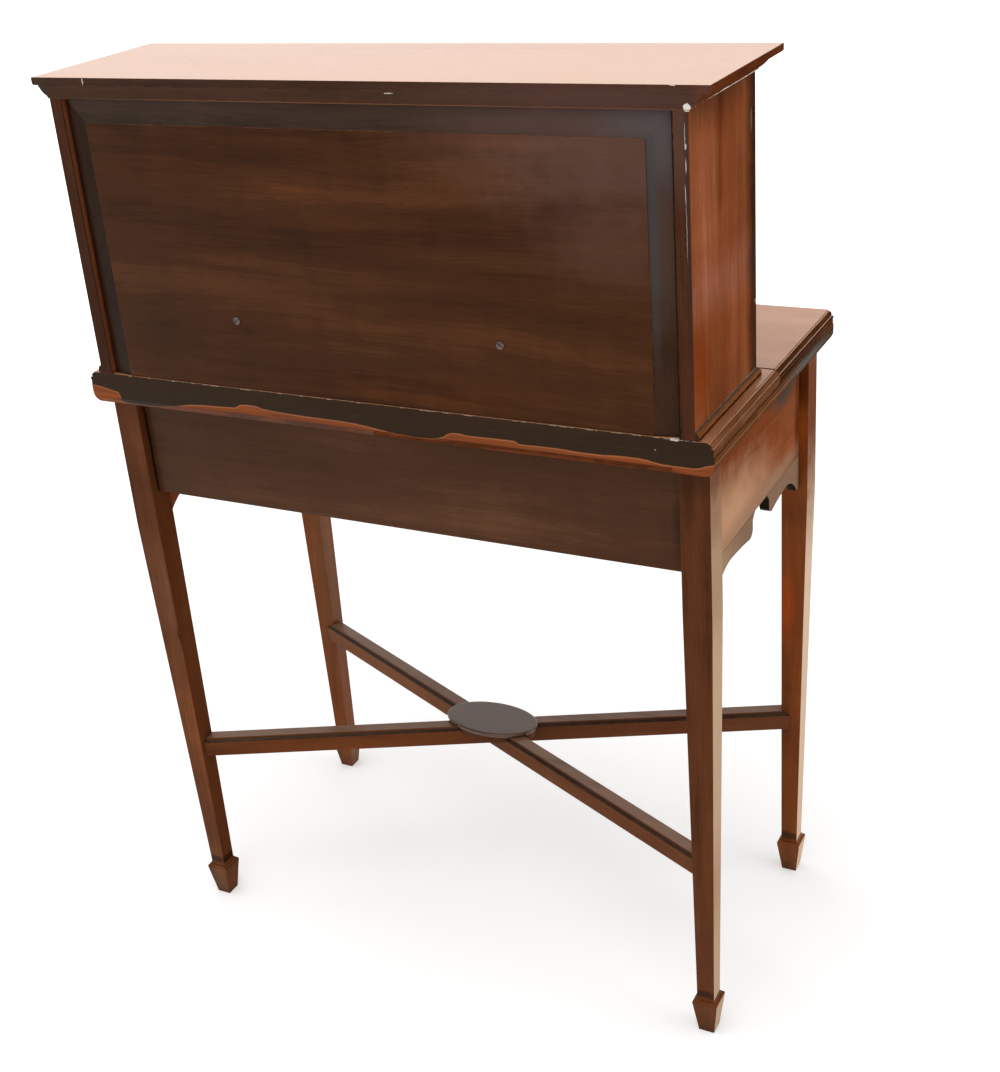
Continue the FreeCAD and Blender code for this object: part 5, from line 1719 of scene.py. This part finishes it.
@dataclass
class DeskTop(Assembly):
    """The fixed bed, the rear board and the fold-over leaf, with their leathers."""

    arris: float = 0.0005
    fine: float = 0.00025
    leather_arris: float = 0.0002
    border_in: float = 0.014
    border_step: float = 0.0062
    mark: Place = (0.0046, 0.0022, 0.00012)

    def build(self) -> None:
        """Make the top."""
        for name, node, width in (("nosed_bed", "top_bed", self.arris),
                                  ("bed_linings", "top_linings", self.fine)):
            self.piece(name, node, (BED_EDGE, EDGE_DEEP), width, over=50.0,
                       rule=lambda face: int(abs(face.normal.x) > 0.3))
        for name, node, rear in (("moulded_rear_board", "rear_top_board", BOARD_BACK),
                                 ("moulded_leaf", "writing_leaf", FRONT_ACROSS)):
            self.piece(name, node, (TOP_ACROSS, EDGE_DEEP, rear), self.fine, over=40.0,
                       rule=self.board_rule)
        for name, node, sign in (("bed_leather", "bed_skiver", 1.0), ("leaf_leather", "leaf_skiver", -1.0)):
            self.piece(name, node, (LEATHER,), self.leather_arris, 1)
            self.made.append(self.tooling(node, sign))

    @staticmethod
    def board_rule(face: bmesh.types.BMFace) -> int:
        """0 on the top, pale with painted glare, 1 on the moulded ends and 2 on the long edges.

        Args:
            face: a face of the piece.

        Returns:
            The finish's number.
        """
        if face.normal.z > 0.9:
            return 0
        if abs(face.normal.x) > 0.2:
            return 1
        return 2 if abs(face.normal.y) > 0.5 else 0

    def tooling(self, node: str, sign: float) -> bpy.types.Object:
        """Tool the gilt border round a leather.

        Args:
            node: the leather's node.
            sign: 1 where the leather looks up, -1 where it looks down.

        Returns:
            The border.
        """
        box = Box.of_node(node)
        level = box.high.z if sign > 0 else box.low.z
        (left, right), (near, far) = ((box.low[axis] + self.border_in, box.high[axis] - self.border_in)
                                      for axis in (0, 1))
        corners = [Vector((x, y, level)) for x, y in ((left, near), (right, near), (right, far), (left, far))]
        mesh = LINED_UP.make(node + "_border", corners, [Vector((0.0, 0.0, sign))] * 4,
                             lozenge_pattern(*self.mark), GILT,
                             [(0, 1), (1, 2), (2, 3), (3, 0)], Spacing=self.border_step, Turn=0.03,
                             Size_Change=0.1, Seed=4)
        return install(mesh, (GILT,), "", BODY_OF[node], SLOT_OF[node])


@dataclass
class Case(Assembly):
    """The case on the desk: sides, shelves, back panel and cornice."""

    arris: float = 0.0007
    fine: float = 0.00025
    slab_arris: float = 0.0003
    rebate_from: float = 0.19
    foot_side_from: float = 0.352
    bevel_width: float = 0.027
    top_bevel_half: float = 0.3
    field_depth: float = 0.0009
    slab_top_from: float = 1.09
    upright: tuple[str, ...] = ("partition_left", "partition_right", "pigeonhole_dividers")
    across: tuple[str, ...] = ("case_bottom", "case_top", "case_shelves")

    def build(self) -> None:
        """Make the case."""
        for side, sign in SIDES:
            self.piece(f"polished_case_side_{side}", f"case_side_{side}",
                       (CASE_UPRIGHT, SIDE_UPRIGHT, DARK_UPRIGHT), self.arris, 3,
                       rule=lambda face, sign=sign: self.side_rule(face, sign))
        for nodes, finish in ((self.upright, CASE_UPRIGHT), (self.across, CASE_ACROSS)):
            for node in nodes:
                self.piece(f"{node}_boards", node, (finish,), self.arris)
        self.piece("fielded_back_panel", "back_panel", (BACK_PANEL, BACK_BEVEL, BACK_BEVEL_UP, BEVEL_ARRIS),
                   self.fine, over=40.0, rule=self.panel_rule)
        self.piece("slotted_back_screws", "back_screws", (SCREW,))
        self.piece("case_foot_moulding", "foot_moulding", (FOOT_DEEP, CASE_ACROSS, DARK_UPRIGHT),
                   self.fine, over=40.0, rule=self.foot_rule)
        for name, node, width in (("cornice_slab_board", "cornice_slab", self.slab_arris),
                                  ("cornice_mouldings", "cornice_bed_board", self.fine)):
            self.piece(name, node, (CORNICE_ACROSS, CORNICE_DEEP, CORNICE_TOP), width, over=40.0,
                       rule=self.cornice_rule)

    def side_rule(self, face: bmesh.types.BMFace, sign: float) -> int:
        """1 on the polished outside, 2 on the stained rear edge and rebate, 0 inside.

        Args:
            face: a face of the case side.
            sign: the side it stands on, as facing takes it.

        Returns:
            The finish's number.
        """
        if facing(face, 0, sign):
            return 1
        return 2 if facing(face, 1, 1.0) or face.calc_center_median().y > self.rebate_from else 0

    def foot_rule(self, face: bmesh.types.BMFace) -> int:
        """2 on the stained rear ends, 1 along the front and 0 along the sides.

        Args:
            face: a face of the piece.

        Returns:
            The finish's number.
        """
        if face.normal.y > 0.5:
            return 2
        return int(abs(face.calc_center_median().x) < self.foot_side_from)

    def panel_rule(self, face: bmesh.types.BMFace) -> int:
        """0 on the field and the inside, 3 on its edges, 1 on the top bevel and 2 on the others.

        Args:
            face: a face of the piece.

        Returns:
            The finish's number.
        """
        spot, high = face.calc_center_median(), Box.of_node("back_panel").high
        if face.normal.y > 0.9 and spot.y > high.y - self.field_depth:
            return 0
        if face.normal.y < 0.6:
            return 3 if face.normal.y > -0.2 else 0
        return 1 if spot.z > high.z - self.bevel_width and abs(spot.x) < self.top_bevel_half else 2

    def cornice_rule(self, face: bmesh.types.BMFace) -> int:
        """2 on the top, pale with painted glare, 1 on the moulded ends and 0 elsewhere.

        Args:
            face: a face of the piece.

        Returns:
            The finish's number.
        """
        if face.normal.z > 0.9 and face.calc_center_median().z > self.slab_top_from:
            return 2
        return int(abs(face.normal.x) > 0.3)


@dataclass
class Doors(Assembly):
    """The two cupboard doors, each framed round a fielded panel."""

    arris: float = 0.0007
    panel_arris: float = 0.0004
    brass_arris: float = 0.0002
    stile: float = 0.034
    rail: float = 0.038
    knob_deep: float = 0.009
    knob_tall: float = 0.02
    plate_in: float = 0.016
    plate_height: float = 0.885

    def build(self) -> None:
        """Make the doors."""
        for side, sign in SIDES:
            box = Box.of_node(f"door_frame_{side}")
            self.made.append(self.framing(side, box))
            self.piece(f"fielded_panel_{side}", f"door_panel_{side}", (FRONT_UPRIGHT,), self.panel_arris,
                       over=12.0)
            fittings = Blank.copy_of(f"brass_fittings_{side}", f"door_fittings_{side}")
            knobs = fittings.drop(lambda box: box.size.y > self.knob_deep and box.size.z < self.knob_tall)
            fittings.ease(self.brass_arris, 1, 50.0)
            for knob in knobs:
                Knob().turn_on(fittings, knob, box.low.y)
            self.made.append(fittings.set_down((BRASS,), f"door_fittings_{side}"))
            x = box.low.x + self.plate_in if sign > 0 else box.high.x - self.plate_in
            self.made.append(Escutcheon().cut(f"key_plate_{side}", f"door_{side}", x, box.low.y,
                                              self.plate_height))

    def framing(self, side: str, box: Box) -> bpy.types.Object:
        """Frame one door of two stiles and two rails.

        Args:
            side: the door's side.
            box: the space it fills.

        Returns:
            The door's frame.
        """
        blank = Blank(f"joined_door_{side}")
        (left, near, low), (right, far, high) = box.low, box.high
        inner_left, inner_right = left + self.stile, right - self.stile
        for x_pair, z_pair in (((left, inner_left), (low, high)), ((inner_right, right), (low, high)),
                               ((inner_left, inner_right), (low, low + self.rail)),
                               ((inner_left, inner_right), (high - self.rail, high))):
            blank.board((x_pair[0], near, z_pair[0]), (x_pair[1], far, z_pair[1]))
        blank.ease(self.arris)

        def rule(face: bmesh.types.BMFace) -> int:
            """1 on the rails and 0 on the stiles."""
            return int(inner_left + HAIR < face.calc_center_median().x < inner_right - HAIR)
        return blank.set_down((FRONT_UPRIGHT, FRONT_ACROSS), f"door_frame_{side}", rule)


@dataclass
class Drawers(Assembly):
    """The frieze drawer, the small drawer in the case, and what the frieze drawer runs on."""

    arris: float = 0.0006
    bead_most: float = 0.003
    tails: int = 5
    tail_in: float = 0.0005
    tail: tuple[float, float, float, float] = (0.010, 0.011, 0.007, 0.0001)

    def build(self) -> None:
        """Make the drawers."""
        for name, node, finish in (("frieze_drawer_front", "drawer_front", FRONT_ACROSS),
                                   ("small_drawer_front", "case_drawer_front", FRONT_ACROSS),
                                   ("dovetailed_sides", "drawer_sides", DRAWER_WOOD),
                                   ("drawer_back_board", "drawer_back", DRAWER_WOOD_ACROSS),
                                   ("drawer_bottom_board", "drawer_bottom", DRAWER_WOOD_ACROSS),
                                   ("small_drawer_boards", "case_drawer_box", DRAWER_WOOD),
                                   ("runner_pair", "drawer_runners", BARE_DEEP)):
            self.piece(name, node, (finish,), self.arris, over=50.0)
        for node, carrier in (("drawer_knobs", "drawer_front"), ("case_drawer_knobs", "case_drawer_front")):
            self.knobs("turned_" + node, node, Box.of_node(carrier).low.y)
        box = Box.of_node("drawer_front")
        self.made.append(Escutcheon().cut("frieze_key_plate", "frieze_drawer", 0.0,
                                          box.low.y + self.field_step(box.low.y), box.middle.z))
        self.made.append(self.dovetails())

    def field_step(self, low_y: float) -> float:
        """How far the drawer front's field lies behind its cock beads."""
        spots = sorted({round(vert.co.y, 5) for vert in frame["nodes"]["drawer_front"].data.vertices})
        return spots[1] - low_y if len(spots) > 1 and spots[1] - low_y < self.bead_most else 0.0

    def dovetails(self) -> bpy.types.Object:
        """Show the dovetails on the frieze drawer's sides.

        Returns:
            The dovetails.
        """
        spots, away = [], []
        for box in Blank.boxes_of("drawer_sides"):
            sign = 1.0 if box.middle.x > 0 else -1.0
            outer = box.high.x if sign > 0 else box.low.x
            for level in range(self.tails):
                z = box.low.z + box.size.z * (level + 0.5) / self.tails
                spots.append(Vector((outer, box.low.y + self.tail_in, z)))
                away.append(Vector((sign, 0.0, 0.0)))
        mesh = SCATTERED.make("drawer_dovetails", spots, away, dovetail_pattern(*self.tail),
                              DRAWER_WOOD_ACROSS, Turn=0.0, Size_Change=0.06, Seed=2)
        return install(mesh, (DRAWER_WOOD_ACROSS,), "", "frieze_drawer", "drawer_lining_wood")


@dataclass
class Lopers(Assembly):
    """The two pull-out bearers of the leaf, and their guides."""

    arris: float = 0.0006
    guide_arris: float = 0.0004

    def build(self) -> None:
        """Make the lopers."""
        for side, _ in SIDES:
            self.piece(f"planed_loper_{side}", f"loper_{side}", (RAIL_DEEP,), self.arris, over=50.0)
            self.piece(f"bearer_guide_{side}", f"loper_guide_{side}", (BARE_DEEP, FRONT_ACROSS),
                       self.guide_arris, over=50.0, rule=lambda face: int(face.normal.y < -0.7))
            self.knobs(f"turned_loper_knob_{side}", f"loper_knob_{side}", Box.of_node(f"loper_{side}").low.y)


@dataclass
class Hinges(Assembly):
    """The hinge plates of the leaf and the doors, with their screws."""

    arris: float = 0.0002
    screw_radius: float = 0.0021
    screw_proud: float = 0.00025
    knuckle: float = 0.006
    screws: tuple[Point, ...] = ((0.2, 0.62), (0.5, 0.38), (0.8, 0.62))

    def build(self) -> None:
        """Make the hinges."""
        for place in ("fixed", "leaf"):
            self.piece(f"{place}_brass_plates", f"{place}_hinge_plates", (BRASS,), self.arris, 1, 50.0)
        self.made.append(self.leaf_screws())

    def leaf_screws(self) -> bpy.types.Object:
        """Set three screws in each plate that lies in the leaf's under face.

        Returns:
            The screws.
        """
        level = Box.of_node("leaf_hinge_plates").low.z
        spots = [Vector((box.low.x + box.size.x * share,
                         box.low.y + self.knuckle + (box.size.y - self.knuckle) * back, level))
                 for box in Blank.boxes_of("leaf_hinge_plates") for share, back in self.screws]
        mesh = SCATTERED.make("leaf_hinge_screws", spots, [Vector((0.0, 0.0, -1.0))] * len(spots),
                              screw_pattern(self.screw_radius, self.screw_proud), SCREW, Turn=1.5,
                              Size_Change=0.05, Seed=11)
        return install(mesh, (SCREW,), "", "leaf", "screw_steel")


# ------------------------------------------------------------------ studio
@dataclass(frozen=True)
class Lamp:
    """A soft rectangular lamp that looks at the desk."""

    name: str
    place: Place
    width: float
    height: float
    watts: float
    aim: Place = (0.0, 0.0, 0.6)

    def hang(self) -> None:
        """Hang the lamp."""
        data = bpy.data.lights.new(self.name, "AREA")
        data.shape = "RECTANGLE"
        data.size, data.size_y, data.energy = self.width, self.height, self.watts
        lamp = bpy.data.objects.new(self.name, data)
        lamp.location = self.place
        lamp.rotation_euler = (Vector(self.aim) - Vector(self.place)).to_track_quat("-Z", "Y").to_euler()
        bpy.context.scene.collection.objects.link(lamp)


@dataclass
class Studio:
    """The floor, the light and the camera."""

    floor_half: float = 30.0
    ambient: float = 0.55
    room: Colour = (1.0, 0.995, 0.985)
    lens: float = 53.0023
    film_height: float = 36.0
    camera_place: Place = (-0.84809383, 1.50825739, 1.35123044)
    camera_turn: tuple[float, float, float, float] = (0.17727, 0.156707, -0.510933, -0.826417)
    shift: Point = (0.016943, -0.012627)
    lamps: tuple[Lamp, ...] = (
        Lamp("lamp over the desk", (0.3, 0.4, 3.4), 2.6, 2.6, 56.0),
        Lamp("lamp to the left", (-3.2, -0.4, 2.0), 2.2, 2.2, 24.0),
        Lamp("lamp behind the camera", (-0.6, 3.4, 2.2), 2.4, 2.0, 18.0))

    def build(self) -> None:
        """Set the studio up."""
        self.lay_floor()
        self.light_world()
        for lamp in self.lamps:
            lamp.hang()
        self.set_camera()

    def lay_floor(self) -> None:
        """Lay the paper floor."""
        data = bpy.data.meshes.new("paper floor")
        corners = [(x * self.floor_half, y * self.floor_half, 0.0)
                   for x, y in ((-1, -1), (1, -1), (1, 1), (-1, 1))]
        data.from_pydata(corners, [], [(0, 1, 2, 3)])
        data.materials.append(PAPER.material())
        floor = bpy.data.objects.new("paper_floor", data)
        bpy.context.scene.collection.objects.link(floor)

    def light_world(self) -> None:
        """Light the room evenly, and let what sees it directly see white."""
        world = bpy.data.worlds.new("pale room")
        world.use_nodes = True
        world.node_tree.nodes.clear()
        graph = Graph(world.node_tree)
        room = graph.out("ShaderNodeBackground", {"Color": self.room, "Strength": self.ambient})
        white = graph.out("ShaderNodeBackground", {"Color": WHITE, "Strength": 1.0})
        both = graph.out("ShaderNodeMixShader", {0: graph.seen_directly(), 1: room, 2: white})
        graph.add("ShaderNodeOutputWorld", {"Surface": both})
        bpy.context.scene.world = world

    def set_camera(self) -> None:
        """Set the camera behind the desk and to its left."""
        data = bpy.data.cameras.new("camera")
        data.sensor_fit = "VERTICAL"
        data.sensor_height = self.film_height
        data.lens = self.lens
        data.shift_x, data.shift_y = self.shift
        camera = bpy.data.objects.new("camera", data)
        camera.location = self.camera_place
        camera.rotation_mode = "QUATERNION"
        camera.rotation_quaternion = self.camera_turn
        bpy.context.scene.collection.objects.link(camera)
        bpy.context.scene.camera = camera
        bpy.context.scene.view_settings.view_transform = "Standard"


def main() -> None:
    """Dress the desk, one group after another."""
    logging.basicConfig(level=logging.INFO, format="%(name)s: %(message)s")
    Studio().build()
    for group in (Case(), DeskTop(), Frame(), Legs(), Stretcher(), Doors(), Drawers(), Lopers(), Hinges()):
        group.build()
        for piece in group.made:
            log.info("%s: %s, %d faces", type(group).__name__, piece.name, len(piece.data.polygons))


if __name__ == "__main__":
    main()
